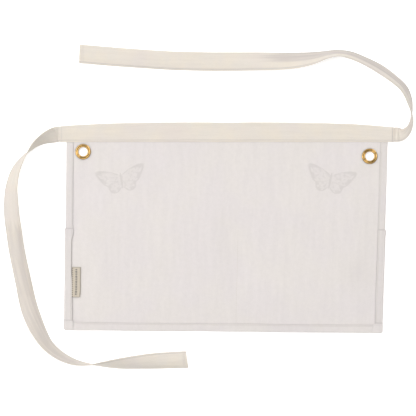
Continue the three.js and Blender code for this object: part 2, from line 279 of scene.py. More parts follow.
def thick_line(line, thickness, tip=0.45):
    """A closed outline round a line of points (n, 2): offset by half the thickness to each
    side, with blunt round ends. Point k is opposite point n-1-k."""
    line = np.asarray(line, float)
    ahead = np.gradient(line, axis=0)
    ahead /= np.linalg.norm(ahead, axis=1)[:, None]
    side = np.stack([-ahead[:, 1], ahead[:, 0]], axis=1)
    half = np.broadcast_to(np.asarray(thickness, float) / 2, len(line))[:, None]
    left, right = line + side * half, line - side * half
    start, end = line[0] - ahead[0] * half[0] * tip, line[-1] + ahead[-1] * half[-1] * tip
    narrow = 0.55
    outline_left = [start + side[0] * half[0] * narrow, *left, end + side[-1] * half[-1] * narrow]
    outline_right = [start - side[0] * half[0] * narrow, *right, end - side[-1] * half[-1] * narrow]
    return np.array(outline_left + outline_right[::-1])


def spaced(low, high, step):
    return np.linspace(low, high, max(2, math.ceil((high - low) / step) + 1))


# ---- How the body and pocket lie


def lay(x, y):
    """Where a point of the square-drawn body lies: a little askew, its edges not quite straight."""
    depth = (BAND_LOW - y) / PANEL_DROP
    across = x / HALF
    free = smooth((BAND_LOW - y) / 40)
    away = EDGE_WANDER * free
    laid_x = x - depth * (LEAN + TAPER * across) + away * wander(y, np.sign(x) * 300, 38, 3)
    laid_y = y - depth * BOTTOM_SLOPE * across
    return laid_x, laid_y + away * wander(x, y * 0 + 50, 46, 4) * smooth((MOUTH_Y - y) / 120)


def crown_at(x, y):
    """How high the body stands off its flat lie."""
    from_hem = HEM_LINE_X - np.abs(x)
    from_seam = np.minimum(from_hem, np.abs(x - DIVIDER_X))
    above = smooth((y - MOUTH_Y) / CROWN_RISE)
    across = smooth(from_seam / CROWN_RISE) * (1 - above) + smooth(from_hem / CROWN_RISE) * above
    up = smooth((y - HEM_LINE_Y) / CROWN_RISE)
    fade = 1 - smooth((y - CROWN_TOP) / (FLAT_Y - CROWN_TOP))
    return CROWN * across * up * fade


def from_eyelet(x, y):
    """Distance from the nearer eyelet's middle, of a point as laid."""
    return np.minimum(*[np.hypot(x - e[0], y - e[1]) for e in EYELETS.values()])


def ripple_at(x, y):
    """The soft waves of cloth that isn't pressed flat, tallest away from the seams."""
    edge = np.minimum(HEM_LINE_X - np.abs(x), np.minimum(y - HEM_LINE_Y, BAND_LOW - y))
    room = smooth(edge / 30)
    loose = 0.35 + 0.65 * smooth((FLAT_Y - y) / 90)
    tall = wander(x, y * 0.38, 34, 11) * 0.42 + wander(x * 0.8, y * 0.5, 61, 12) * 0.5
    slant = wander(x + 0.7 * y, y - 0.4 * x, 44, 13) * 0.3
    mouth = wander(x, y, 30, 14) * 0.28 * np.exp(-(((y - MOUTH_Y) / 28) ** 2))
    calm = smooth((from_eyelet(x, y) - WASHER_RADIUS) / 25)
    below = MOUTH_Y - y
    ridge = np.exp(-(((x + HEM_LINE_X - 6) / 2.6) ** 2))
    ridge = ridge * smooth((below + 8) / 10) * (1 - smooth((below - 50) / 15))
    streaks = wander(x, y * 0.16, 15, 15) * 0.16 + wander(x, y * 0.8, 9, 16) * 0.07
    return room * (loose * (tall + slant) + mouth + streaks) * calm + 0.5 * ridge


def body_lift(x, y):
    """Height of the body's sheet above its flat lie, waves included."""
    crown = crown_at(x, y)
    return crown + ripple_at(x, y) * (0.55 + 0.5 * crown / CROWN)


def fold_reach(y, side):
    """How far in from the pocket's edge its turned side edge reaches."""
    reach = POCKET_FOLD + 0.25 * wander(y, side * 90, 17, 21)
    if side < 0:
        below = MOUTH_Y - y
        reach = reach + 1.1 * np.exp(-(((below - 4) / 7) ** 2)) + 0.7 * smooth((below - 105) / 20)
        reach = reach - 1.5 * smooth((below - 10) / 12) * (1 - smooth((below - 62) / 26))
    return reach


def beside(distance, core, fade):
    """1 within core of a line and 0 from core + fade on."""
    return 1 - smooth((np.abs(distance) - core) / fade)


# ---- Sheets drawn as a grid with a top and a bottom


def grid_solid(xs, ys, top, bottom, where, drop=None, crease=None):
    """Points and faces of a closed sheet on a grid. top and bottom give heights by (x, y), and
    meet at the border; where lays the points. drop says which cells are cut out, and crease
    how much painted shade each point of the top gets, as for lying in a fold."""
    nx, ny = len(xs), len(ys)
    x, y = np.meshgrid(xs, ys, indexing="ij")
    z_top, z_bottom = top(x, y), bottom(x, y)
    border = np.zeros((nx, ny), bool)
    border[[0, -1], :] = border[:, [0, -1]] = True
    middle = (z_top + z_bottom) / 2
    z_top = np.where(border, middle, z_top)
    px, py = where(x, y)
    keep = np.ones((nx - 1, ny - 1), bool)
    if drop is not None:
        keep, px, py = drop(px, py)
    low = np.arange(nx * ny).reshape(nx, ny)
    upper = np.where(border, low, low + nx * ny)
    points = np.concatenate(
        [
            np.stack([px, py, np.where(border, middle, z_bottom)], -1).reshape(-1, 3),
            np.stack([px, py, z_top], -1).reshape(-1, 3),
        ]
    )
    cloth = np.concatenate([np.stack([x, y, y * 0], -1).reshape(-1, 3)] * 2)
    deep = x * 0 if crease is None else crease(x, y)
    deep = np.concatenate([x.ravel() * 0, deep.ravel()])
    faces, slots = [], []
    for i, j in zip(*np.nonzero(keep)):
        corners = ((i, j), (i + 1, j), (i + 1, j + 1), (i, j + 1))
        faces.append(tuple(upper[c] for c in corners))
        slots.append(0)
        faces.append(tuple(low[c] for c in corners[::-1]))
        slots.append(1)
    for i, j in zip(*np.nonzero(~keep)):
        around = (((i, j), (i + 1, j), (i, j - 1)), ((i + 1, j), (i + 1, j + 1), (i + 1, j)),
                  ((i + 1, j + 1), (i, j + 1), (i, j + 1)), ((i, j + 1), (i, j), (i - 1, j)))
        for a, b, beyond in around:
            if keep[beyond]:
                faces.append((upper[a], upper[b], low[b], low[a]))
                slots.append(0)
    used = np.unique(np.array(faces))
    renumber = np.zeros(len(points), int)
    renumber[used] = np.arange(len(used))
    return points[used], renumber[np.array(faces)], slots, cloth[used], deep[used]


def round_corner(x, y, half, low, radius=3.0):
    """Rounds the two bottom corners of a square-drawn piece."""
    p = np.clip((np.abs(x) - (half - radius)) / radius, 0, None)
    q = np.clip(((low + radius) - y) / radius, 0, None)
    both = (p > 0) & (q > 0)
    pull = np.where(both, np.maximum(p, q) / np.maximum(np.hypot(p, q), 1e-9), 1)
    new_x = np.sign(x) * (half - radius + p * pull * radius)
    new_y = low + radius - q * pull * radius
    return np.where(both, new_x, x), np.where(both, new_y, y)


# ---- The body

# Heights over a hem, by the distance from the body's edge: the round fold, the flat of the
# hem, the dip of its stitching and the fold of its inner edge
HEM_INSETS = [0, 0.1, 0.3, 0.7, 1.4, 3, 5, 7, 8.6, 9.4, 10.1, 10.55, 10.85, 11.0, 11.1, 11.4]
HEM_RISES = [0.3, 0.72, 0.95, 1.12, 1.2, 1.22, 1.2, 1.21, 1.18, 1.02, 1.17, 1.16, 1.0, 0.55, 0.06, 0]
UNDER_INSETS = [0, 0.1, 0.3, 0.7, 1.4]
UNDER_RISES = [0.9, 0.4, 0.17, 0.04, 0]


def stations(*parts):
    """The places where a sheet has points, in order and each one once."""
    return np.unique(np.round(np.concatenate(parts), 3))


def body_cloth():
    eyelet_xs = [e[0] for e in EYELETS.values()]
    knots = HEM_INSETS + [11.8, 12.2, 12.7, 13.3, 14.2, 15.5, 17, 18.5, 20]
    fine = 2.0
    span = WASHER_RADIUS + 3
    inner = HALF - knots[-1]
    xs = stations(
        [-HALF + d for d in knots],
        [HALF - d for d in knots],
        spaced(-inner, eyelet_xs[0] + span, fine),
        spaced(eyelet_xs[0] + span, eyelet_xs[1] - span, 3.6),
        spaced(eyelet_xs[1] - span, inner, fine),
    )
    hem_end = BAND_LOW - GAP
    step = [MOUTH_Y + d for d in (-1.0, 0.05, 0.5, 1.1, 2)]
    ys = stations(
        [BODY_LOW + d for d in knots],
        spaced(BODY_LOW + knots[-1], MOUTH_Y - 3, 3.6),
        step,
        spaced(MOUTH_Y + 4, FLAT_Y + 12, 3.6),
        spaced(FLAT_Y + 12, BAND_LOW - 3, fine),
        [hem_end - 1.2, hem_end - 0.8, hem_end - 0.4, hem_end, BAND_LOW + 4],
        [BAND_LOW + PANEL_TUCK],
    )

    def inset(x, y):
        shift = np.where(x < 0, fold_reach(y, -1), fold_reach(y, 1)) - POCKET_FOLD
        side = HALF - np.abs(x)
        side = side - shift * smooth((side - 3) / 7) * smooth((19 - side) / 6)
        return np.minimum(side, y - BODY_LOW)

    def press(x, y):
        px, py = lay(x, y)
        return 0.28 * (1 - smooth((from_eyelet(px, py) - WASHER_RADIUS + 0.6) / 7))

    def top(x, y):
        d = inset(x, y)
        rim = np.interp(d, HEM_INSETS, HEM_RISES) * smooth((hem_end - y) / 1.2)
        wave = 0.09 * wander(x, y, 19, 22) * smooth(d / 2) * (rim > 0.4)
        meet = 0.22 * beside(y - BAND_LOW, 2, 5) * smooth((d - SIDE_HEM) / 4)
        return BODY_TOP + rim + wave + body_lift(x, y) * smooth(d / SIDE_HEM) + press(x, y) + meet

    def bottom(x, y):
        d = inset(x, y)
        rim = np.interp(d, UNDER_INSETS, UNDER_RISES) * smooth((hem_end - y) / 1.2)
        return BODY_BOTTOM + rim + body_lift(x, y) * smooth(d / SIDE_HEM) - press(x, y)

    # Painted shade: dark lines along the hems' folds and stitching, the pocket's turned edges and mouth,
    # round the washers and under the waistband's edge, and a soft painted shadow in one patch. The hems are
    # also a little darker all over, the right one more.
    def crease(x, y):
        d = inset(x, y)
        px, py = lay(x, y)
        upper = smooth((y - MOUTH_Y) / 0.5)
        side = OUTER_HALF - np.abs(x)
        reach = np.where(x < 0, fold_reach(y, -1), fold_reach(y, 1))
        low = beside(side - reach - 0.1, 0.35, 1.3) * (1 - upper)
        deep = np.maximum(beside(d - 11.3, 0.35, 0.9) * upper, low)
        foot = 0.45 * beside(y - HEM_LINE_Y - 0.1, 0.35, 1.2) * (side > POCKET_FOLD)
        deep = np.maximum(deep * np.where(x < 0, 0.68, 0.6), foot)
        deep = np.maximum(deep, 0.25 * beside(d - 9.4, 0.15, 0.6) * upper)
        deep = np.maximum(deep, 0.8 * beside(y - MOUTH_Y - 0.4, 0.5, 1.2) * (d < SIDE_HEM))
        deep = np.maximum(deep, 0.7 * beside(from_eyelet(px, py) - WASHER_RADIUS, 0.4, 2.2))
        # A soft painted shadow on the right pocket
        shadow_patch = np.exp(-(((px - 200) / 19) ** 2) - ((py + 218) / 21) ** 2)
        deep = deep + 0.16 * shadow_patch + (0.14 + 0.08 * (x > 0)) * (d < 11.2)
        return np.maximum(deep, 0.3 * beside(y - BAND_LOW, 0.3, 1.2))

    def drop(px, py):
        hole = BORE_RADIUS + 1.3
        keep = np.ones((px.shape[0] - 1, px.shape[1] - 1), bool)
        for middle in EYELETS.values():
            away = np.hypot(px - middle[0], py - middle[1])
            inside = away < WASHER_RADIUS - 1
            cells = inside[:-1, :-1] & inside[1:, :-1] & inside[:-1, 1:] & inside[1:, 1:]
            keep &= ~cells
            rim = np.zeros_like(inside)
            for i, j in zip(*np.nonzero(cells)):
                rim[i : i + 2, j : j + 2] = True
            scale = np.where(rim, hole / np.maximum(away, 0.1), 1)
            px = middle[0] + (px - middle[0]) * scale
            py = middle[1] + (py - middle[1]) * scale
        return keep, px, py

    def where(x, y):
        return lay(*round_corner(x, y, HALF, BODY_LOW, 2.2))

    shells = Shells()
    points, faces, slots, cloth, deep = grid_solid(xs, ys, top, bottom, where, drop, crease)
    shells.add(points, faces, slots, cloth, deep)
    return shells.build("body_cloth", [COTTON_BACK, COTTON_FRONT])


# ---- The pocket: a front plate, and its edges turned over the body's hems to the back


def pocket_plate(shells):
    knots = [0, 0.05, 0.15, 0.3, 0.6]
    xs = stations(
        [-OUTER_HALF + d for d in knots],
        [OUTER_HALF - d for d in knots],
        spaced(-OUTER_HALF + 0.6, OUTER_HALF - 0.6, 4),
    )
    hem_low = MOUTH_Y - POCKET_HEM
    ys = stations(
        [OUTER_BOTTOM + d for d in knots],
        spaced(OUTER_BOTTOM + 0.6, hem_low - 1, 4),
        [hem_low - 0.5, hem_low - 0.2, hem_low, hem_low + 0.25, hem_low + 0.8],
        spaced(hem_low + 2, MOUTH_Y - 1.2, 3),
        [MOUTH_Y - d for d in (0.6, 0.3, 0.12, 0.03, 0)],
    )

    def hem(y):
        return np.interp(y - hem_low, [-0.25, 0, 0.25, 0.8], [0, 0.12, 0.5, CLOTH])

    def edge(x, y):
        return np.minimum(np.minimum(OUTER_HALF - np.abs(x), y - OUTER_BOTTOM), MOUTH_Y - y)

    def top(x, y):
        thin = 1 - smooth(edge(x, y) / 0.6)
        whole = CLOTH + hem(y)
        return whole - thin * whole * 0.5

    def bottom(x, y):
        return 0.3 * (1 - smooth(edge(x, y) / 0.6)) + 0 * x

    def where(x, y):
        return lay(*round_corner(x, y, OUTER_HALF, OUTER_BOTTOM))

    points, faces, slots, cloth, deep = grid_solid(xs, ys, top, bottom, where)
    shells.add(points, faces, [1] * len(slots), cloth, deep)


class Rings:
    """Cross-sections of one closed shell, with the flat place and crease of their points."""

    def __init__(self):
        self.places, self.flats, self.creases = [], [], []

    def add(self, place, flat, crease=0):
        self.places.append(np.stack(place, -1))
        self.flats.append(np.stack(flat, -1))
        self.creases.append(crease + 0 * place[2])

    def close(self, shells):
        places = np.array(self.places)
        shells.add(places, loft(places), 0, np.array(self.flats), np.array(self.creases))


# The turned edge's middle line, by distance in from the pocket's outer edge and height
TURNING = [
    (0.36, 0.95), (0.3, 1.6), (0.28, 2.3), (0.36, 3.0), (0.66, 3.5), (1.2, 3.8), (2.2, 3.9), (4.0, 3.92),
    (6.2, 3.9), (8.4, 3.9), (9.6, 3.84), (10.3, 3.76), (11.0, 3.84), (11.55, 3.87), (11.9, 3.82),
]
TURNING_THICKNESS = 0.62


def side_turning(shells, side):
    ys = np.concatenate(
        [
            [OUTER_BOTTOM + 0.5, OUTER_BOTTOM + 1],
            spaced(OUTER_BOTTOM + 2, OUTER_BOTTOM + CORNER_FOLD - 1, 3.2),
            OUTER_BOTTOM + CORNER_FOLD + np.array([-0.2, 0.6, 1.2, 2]),
            spaced(OUTER_BOTTOM + CORNER_FOLD + 3.5, MOUTH_Y - 4, 3.2),
            [MOUTH_Y - 3, MOUTH_Y - 2, MOUTH_Y - 1, MOUTH_Y - 0.4, MOUTH_Y - 0.12, MOUTH_Y],
        ]
    )
    outline = thick_line(TURNING, TURNING_THICKNESS)
    heart = np.mean(TURNING, axis=0)
    rings = Rings()
    for y in ys:
        shrink = 1 - 0.06 * smooth((y - MOUTH_Y + 0.5) / 0.5)
        d = heart[0] + (outline[:, 0] - heart[0]) * shrink
        z = outline[:, 1] + 0.12 * (shrink - 1)
        z = z + 0.1 * wander(y, side * 70, 21, 31) * smooth(d / 3)
        z = z + 0.08 * wander(d * 2, y + side * 11, 9, 32) * smooth(d / 4)
        flat_d = d
        d = d + (fold_reach(y, side) - POCKET_FOLD) * smooth((d - 5) / 7)
        bulge = (0.75 if side > 0 else 0.45) * np.exp(-(((y - MOUTH_Y + 4) / 4.5) ** 2))
        bulge = bulge * smooth((2 - d) / 2)
        x, flat_y = round_corner(side * (OUTER_HALF - d + bulge), y + 0 * d, OUTER_HALF, OUTER_BOTTOM)
        px, py = lay(x, flat_y)
        above = outline[:, 1] > 3
        # Painted shade along the turned edge's fold and stitch lines, its corner fold and the mouth; the
        # turned edge is also a little darker all over, the right one more.
        line = 0.45 * beside(flat_d - 10.3, 0.15, 0.6)
        line = np.maximum(line, (0.4 if side > 0 else 0.2) * beside(flat_d - 4.6, 0.2, 0.8))
        edge = np.maximum(line, beside(flat_d - 12.2, 0.15, 0.5))
        rise = y - OUTER_BOTTOM
        edge = np.maximum(edge, beside(rise - CORNER_FOLD - 0.1, 0.5, 1.4) if rise > CORNER_FOLD - 1 else 0)
        edge = np.maximum(edge, 0.7 * beside(y - MOUTH_Y, 0.2, 0.8))
        rings.add((px, py, z), (x, flat_y, z), (edge + 0.14 + 0.08 * (side > 0)) * above)
    rings.close(shells)


def bottom_turning(shells):
    near = OUTER_HALF - 3
    xs = np.concatenate(
        [
            -OUTER_HALF + np.array([0, 0.15, 0.4, 0.8, 1.4, 2.2]),
            spaced(-near, -CORNER_X - 0.6, 1.5),
            -CORNER_X + np.array([0, 0.4, 0.8, 1.3, 2.0, 3.0]),
            spaced(-CORNER_X + 4.5, CORNER_X - 4.5, 3.4),
            (CORNER_X - np.array([0, 0.4, 0.8, 1.3, 2.0, 3.0]))[::-1],
            spaced(CORNER_X + 0.6, near, 1.5),
            (OUTER_HALF - np.array([0, 0.15, 0.4, 0.8, 1.4, 2.2]))[::-1],
        ]
    )
    turning = np.array(TURNING)
    rings = Rings()
    for x in xs:
        corner = 1 - smooth((CORNER_X - abs(x)) / 1.8 + 0.5)
        tip = smooth((abs(x) - OUTER_HALF + 0.8) / 0.8)
        line = turning.copy()
        wide = 1 + (CORNER_FOLD / BOTTOM_HEM - 1) * corner
        line[:, 0] *= wide
        line[:, 1] += (CORNER_RISE + 0.04) * corner * smooth((turning[:, 1] - 1) / 2.6)
        outline = thick_line(line, TURNING_THICKNESS)
        middle = np.array([outline[:, 0].mean(), (0.9 + outline[:, 1].max()) / 2])
        d = outline[:, 0]
        z = middle[1] + (outline[:, 1] - middle[1]) * (1 - 0.16 * tip)
        z = z + 0.1 * wander(x, 10, 23, 33) * smooth(d / 3) * (1 - corner)
        z = z + 0.1 * wander(x, d * 2, 8, 34) * smooth(d / 4)
        flat_d = d / wide
        d = d + 0.25 * wander(x, 20, 19, 35) * smooth((d - 6) / 5)
        inner = abs(x) - CORNER_X
        arc = np.clip(1 - (inner + 0.9) / 2.2, 0, 1)
        round_off = np.sqrt(np.maximum(0, 1 - arc**2)) if inner > -0.9 else 1
        d = np.where(d > CORNER_FOLD - 3, CORNER_FOLD - 3 + (d - CORNER_FOLD + 3) * round_off, d)
        flat_x, flat_y = round_corner(x + 0 * d, OUTER_BOTTOM + d, OUTER_HALF, OUTER_BOTTOM)
        px, py = lay(flat_x, flat_y)
        # Painted shade along the turned edge's fold and stitch lines and beside the corner folds; the turned
        # edge is also a little darker all over.
        edge = 0.45 * np.maximum(beside(flat_d - 10.3, 0.15, 0.6), beside(flat_d - 12.2, 0.15, 0.5))
        edge = np.maximum(edge, 0.5 * beside(inner + 0.6, 0.4, 1.0) * smooth((flat_d - 2) / 9))
        rings.add((px, py, z), (flat_x, flat_y, z), (edge + 0.14) * (outline[:, 1] > 3))
    rings.close(shells)


def pocket_cloth():
    shells = Shells()
    pocket_plate(shells)
    side_turning(shells, -1)
    side_turning(shells, 1)
    bottom_turning(shells)
    return shells.build("pocket_cloth", [COTTON_BACK, COTTON_FRONT])


# ---- The waistband


def band_height_at(x):
    end = np.where(np.asarray(x) < 0, BAND_END_HEIGHT[-1], BAND_END_HEIGHT[1])
    return BAND_HEIGHT - (BAND_HEIGHT - end) * (np.abs(x) / BAND_HALF) ** BAND_ARCH


def waistband_tape():
    leaf = [0.1, 0.5, 1.2, 2.2, 3.2, 4.2, 5.6, 8, 11, 14, 17, 20, 23, 26, 28.2]
    dips = [0.2, 0.14, 0.06, 0.07, 0.13, 0.05, 0] + [0] * 8
    fold_y = BAND_HEIGHT - BAND_TOP / 2
    reach = BAND_TOP / 2 - TAPE / 2
    turns = np.linspace(-math.pi / 2, math.pi / 2, 11)
    arc = [(fold_y + reach * math.cos(a), BAND_TOP / 2 + reach * math.sin(a)) for a in turns]
    front = [(v, TAPE / 2) for v in leaf]
    back = [(v, BAND_TOP - TAPE / 2 - dip) for v, dip in zip(leaf, dips)]
    thin = [0.55, 0.66, 0.8] + [TAPE] * (len(leaf) - 3)
    outline = thick_line(front + arc + back[::-1], thin + [TAPE] * len(arc) + thin[::-1])
    end_insets = np.array([0, 0.3, 1.4, 2.1, 2.6, 3.1, 3.8, 5])
    xs = np.concatenate(
        [-BAND_HALF + end_insets, spaced(-BAND_HALF + 7, BAND_HALF - 7, 2.6), (BAND_HALF - end_insets)[::-1]]
    )
    rings = Rings()
    for x in xs:
        v, z = outline[:, 0], outline[:, 1]
        back_side = smooth((z - BAND_TOP / 2) / 1.0)
        z = z + back_side * (0.13 * wander(x, v, 26, 41) + 0.08 * wander(x * 1.6, v * 2, 13, 42))
        z = z + back_side * 0.07 * wander(x, 5, 5.2, 43) * np.exp(-(((v - BAND_SEAM_INSET) / 2.4) ** 2))
        near_end = smooth((abs(x) - BAND_HALF + 48) / 30) * smooth((BAND_HALF - abs(x)) / 4)
        drawn = wander(x * 0.5 - v * 0.8, v * 0.9 + x * 0.22, 7.5, 46) + 0.5 * wander(x, v * 2.4, 12, 47)
        z = z + back_side * near_end * 0.2 * drawn * smooth(v / 6) * smooth((BAND_HEIGHT - v) / 6)
        edge = 0.3 * wander(x, 7, 41, 44) * smooth(v / BAND_HEIGHT)
        low = 0.16 * wander(x, 9, 23, 45) * (1 - smooth(v / 10))
        y = BAND_LOW + (v + edge) * band_height_at(x) / BAND_HEIGHT + low
        tip = smooth((abs(x) - BAND_HALF + 0.3) / 0.3)
        z = BAND_TOP / 2 + (z - BAND_TOP / 2) * (1 - 0.05 * tip)
        # Painted shade along the stitching and in the seams where the ties go in, deeper at the right.
        seam = 0.5 * beside(v - BAND_SEAM_INSET, 0.2, 0.8)
        ends = (0.6 if x > 0 else 0.15) * beside(BAND_HALF - TIE_SEAM_INSET - abs(x), 0.3, 1.0)
        across = x + 0 * y
        crease = np.maximum(seam, ends) * back_side
        rings.add((across, y, np.maximum(z, 0)), (across, v + 40 * back_side, z), crease)
    shells = Shells()
    rings.close(shells)
    return shells.build("waistband_tape", [TAPE_CREAM])


# ---- The ties


def catmull_rom(points, power, samples):
    """Points along a Catmull-Rom curve through the given ones, evenly in the curve's own
    parameter."""
    points = np.asarray(points, float)
    count = len(points)
    padded = np.vstack([2 * points[0] - points[1], points, 2 * points[-1] - points[-2]])
    t = np.linspace(0, count - 1, samples)
    index = np.minimum(t.astype(int), count - 2)
    u = (t - index)[:, None]
    p0, p1, p2, p3 = (padded[index + k] for k in range(4))

    def stride(a, b):
        return np.maximum(((b - a) ** 2).sum(1) ** power, 1e-4)[:, None]

    d0, d1, d2 = stride(p0, p1), stride(p1, p2), stride(p2, p3)
    t1 = ((p1 - p0) / d0 - (p2 - p0) / (d0 + d1) + (p2 - p1) / d1) * d1
    t2 = ((p2 - p1) / d1 - (p3 - p1) / (d1 + d2) + (p3 - p2) / d2) * d1
    return (
        p1
        + t1 * u
        + (3 * (p2 - p1) - 2 * t1 - t2) * u**2
        + (2 * (p1 - p2) + t1 + t2) * u**3
    )


class Ribbon:
    """A tie's surface: a point by how far along it is, its share of the width and its depth."""

    def __init__(self, route, side):
        self.side = side
        self.slant = TIE_SLANT[side]
        seam_height = float(band_height_at(side * BAND_HALF))
        self.seam_height = seam_height
        self.seam_y = BAND_LOW + seam_height / 2
        line = [(side * TIE_START + dx, self.seam_y if y is None else y) for dx, y, _, _ in route]
        lie = [(roll, cup) for _, _, roll, cup in route]
        samples = 6000
        self.line = catmull_rom(line, 0.25, samples)
        self.lie = np.radians(catmull_rom(lie, 0.25, samples))
        steps = np.linalg.norm(np.diff(self.line, axis=0), axis=1)
        self.arc = np.concatenate([[0], np.cumsum(steps)])
        self.length = float(self.arc[-1])
        ahead = np.gradient(self.line, axis=0)
        self.ahead = ahead / np.linalg.norm(ahead, axis=1)[:, None]
        start = 1 - smooth(self.arc / 4)[:, None]
        mixed = self.ahead * (1 - start) + np.array([side, 0]) * start
        self.ahead = mixed / np.linalg.norm(mixed, axis=1)[:, None]

    def ring(self, at, shares, depths):
        """Points of one cross-section. Before the seam the tie runs straight into the
        waistband."""
        inside = min(at, 0)
        reach = max(at, 0)

        def read(values):
            return np.array([np.interp(reach, self.arc, values[:, k]) for k in range(2)])

        middle, ahead, (roll, cup) = read(self.line), read(self.ahead), read(self.lie)
        seam_width = self.seam_height - 1.9 + 1.7 * smooth((at + FOLD_GAP) / 1.5)
        width = seam_width + (TIE_WIDTH - seam_width) * smooth(reach / TIE_FULL_FROM)
        if abs(cup) > 1e-4:
            radius, turn = width / (2 * cup), 2 * cup * shares
            flat = (radius + depths) * np.sin(turn)
            rise = (radius + depths) * np.cos(turn) - radius * math.cos(cup)
        else:
            flat, rise = width * shares, depths
        outward = flat * math.cos(roll) - rise * math.sin(roll)
        up = flat * math.sin(roll) + rise * math.cos(roll)
        lift = (BAND_TOP / 2 - TIE_CLOTH / 2) * (1 - smooth(reach / TIE_SETTLE))
        skew = self.slant * shares * smooth((at - self.length) / 40 + 1)
        x = middle[0] + self.side * inside + ahead[1] * outward + ahead[0] * skew
        y = middle[1] - ahead[0] * outward + ahead[1] * skew
        return np.stack([x, y, up], -1), lift


TIE_CELLS = 16
TIE_SEAM_SHARE = 0.5 - TIE_SEAM_INSET / TIE_WIDTH
TIE_ROOT = 11  # how far the tie's end goes in
ROOT_OUT = 3.2  # where the root piece ends, past the start


def tie_section(seam_share):
    """The tie's outline: shares of its width and depths, top side first."""
    shares = np.linspace(-0.485, 0.485, TIE_CELLS + 1)
    shares = np.sort(np.append(shares, [seam_share - 0.02, seam_share, seam_share + 0.02]))
    swell = 1 - 0.3 * np.exp(-(((shares - seam_share) / 0.012) ** 2))
    crease = 1 - 0.05 * np.exp(-((shares / 0.02) ** 2))
    half = TIE_CLOTH / 2 * swell * crease
    top = list(zip(shares, half))
    edge = [(0.496, 0.42), (0.5, 0.14)]
    right = [(s, h) for s, h in edge]
    left = [(-s, h) for s, h in edge[::-1]]
    upper = left + top + right
    lower = [(s, -h) for s, h in upper[::-1]]
    return np.array(upper + lower)


def tie_ring(ribbon, at, section, seed):
    shares, depths = section[:, 0], section[:, 1].copy()
    end = ribbon.length - at
    depths = depths * (1 + 0.22 * smooth((6.5 - end) / 0.8)) * (1 - 0.55 * smooth((0.35 - end) / 0.35))
    depths = depths + TIE_WAVE * tie_wave(at, shares, seed)
    side_wave = 0.008 * wander(at, 3, 33, seed + 1) * smooth(at / 30)
    points, lift = ribbon.ring(at, shares + side_wave, depths)
    points[:, 2] += lift - points[:, 2].min()
    return points


def tie_wave(at, shares, seed):
    """The tie's small waves, mostly drawn out along it."""
    free = smooth(at / 12)
    broad = 0.7 * wander(at, shares * 60, 31, seed)
    return free * (broad + 0.6 * wander(at * 0.12, shares * 40, 4.5, seed + 2))


# Stretches of the ties given painted shade, where they lie in shade: side, start, end, the
# middle share and half width across, and how dark
TIE_SHADED_STRETCHES = [
    (-1, 168, 420, 0.0, 0.46, 0.42),
    (1, 5, 40, 0.0, 0.6, 0.5),
    (1, 62, 290, -0.25, 0.3, 0.75),
]


# Painted shade over the ties' shaded stretches, with ragged ends and streaks.
def tie_painted_shade(side, at, shares):
    dark = shares * 0
    for on, start, end, middle, wide, depth in TIE_SHADED_STRETCHES:
        if on != side:
            continue
        ragged = 12 * wander(shares * 22, shares * 0 + start, 1.0, 81)
        along = smooth((at - start - ragged) / 16) * (1 - smooth((at - end - ragged) / 40))
        across = 1 - smooth((np.abs(shares - middle) - wide + 0.06) / 0.12)
        streak = 0.75 + 0.4 * wander(at * 0.05, shares * 40, 3.2, 82)
        dark = np.maximum(dark, depth * along * across * streak)
    return dark


# Painted shade along the tie's seam, at the fold and stitching of its turned end, and over its shaded
# stretches.
def tie_crease(at, section, length, seam_share):
    shares = section[:, 0]
    seam = 0.5 * beside((shares - seam_share) * TIE_WIDTH, 0.25, 0.7)
    end = 0.15 * beside(length - at - 6.4, 0.3, 0.8) + 0.1 * beside(length - at - 4.2, 0.2, 0.6)
    painted_shade = tie_painted_shade(np.sign(seam_share), at, shares)
    return np.maximum(np.maximum(seam, end), painted_shade)


def tie_pieces(route, side, name, seed):
    ribbon = Ribbon(route, side)
    seam_share = side * TIE_SEAM_SHARE
    section = tie_section(seam_share)
    root_at = np.concatenate([spaced(-TIE_ROOT, -FOLD_GAP - 0.4, 1.6), spaced(-FOLD_GAP, ROOT_OUT, 0.5)])
    length = ribbon.length
    tail = [length - 7.3, length - 6.5, length - 5.7, length - 4, length - 2, length - 0.9]
    last = [length - 0.35, length - 0.1, length]
    cloth_at = np.concatenate([spaced(ROOT_OUT, length - 8.5, 2.6), tail, last])
    made = []
    for part, places in (("root", root_at), ("cloth", cloth_at)):
        shells = Shells()
        rings = np.array([tie_ring(ribbon, at, section, seed) for at in places])
        across = section[:, 0] * TIE_WIDTH
        flat = [np.stack([at + 0 * across, across, section[:, 1]], -1) for at in places]
        deep = np.array([tie_crease(at, section, length, seam_share) for at in places])
        shells.add(rings, loft(rings), 0, np.array(flat), deep)
        if part == "cloth":
            add_tie_stitches(shells, ribbon, seam_share, seed)
        made.append(shells.build(f"{name}_{part}", [TAPE_CREAM, THREAD]))
    return made[0], made[1], ribbon


# ---- Stitches


STITCH = 2.45
STITCH_PITCH = 2.95
STITCH_WIDTH = 0.5
STITCH_HEIGHT = 0.34
STITCH_RINGS = [
    (-0.5, 0.35, -0.12), (-0.36, 0.85, 0.02), (0.0, 1.0, 0.1), (0.36, 0.85, 0.02), (0.5, 0.35, -0.12),
]
STITCH_SIDES = 6


def stitch_template():
    points, faces = [], []
    for along, thick, rise in STITCH_RINGS:
        for k in range(STITCH_SIDES):
            a = 2 * math.pi * k / STITCH_SIDES
            across = math.cos(a) * STITCH_WIDTH / 2 * thick
            up = math.sin(a) * STITCH_HEIGHT / 2 * thick + rise
            points.append((along * STITCH, across, up))
    n = STITCH_SIDES
    for i in range(len(STITCH_RINGS) - 1):
        for k in range(n):
            m = (k + 1) % n
            faces.append((i * n + k, (i + 1) * n + k, (i + 1) * n + m, i * n + m))
    faces.append(tuple(range(n)))
    faces.append(tuple((len(STITCH_RINGS) - 1) * n + k for k in range(n))[::-1])
    return np.array(points), faces


STITCH_POINTS, STITCH_FACES = stitch_template()


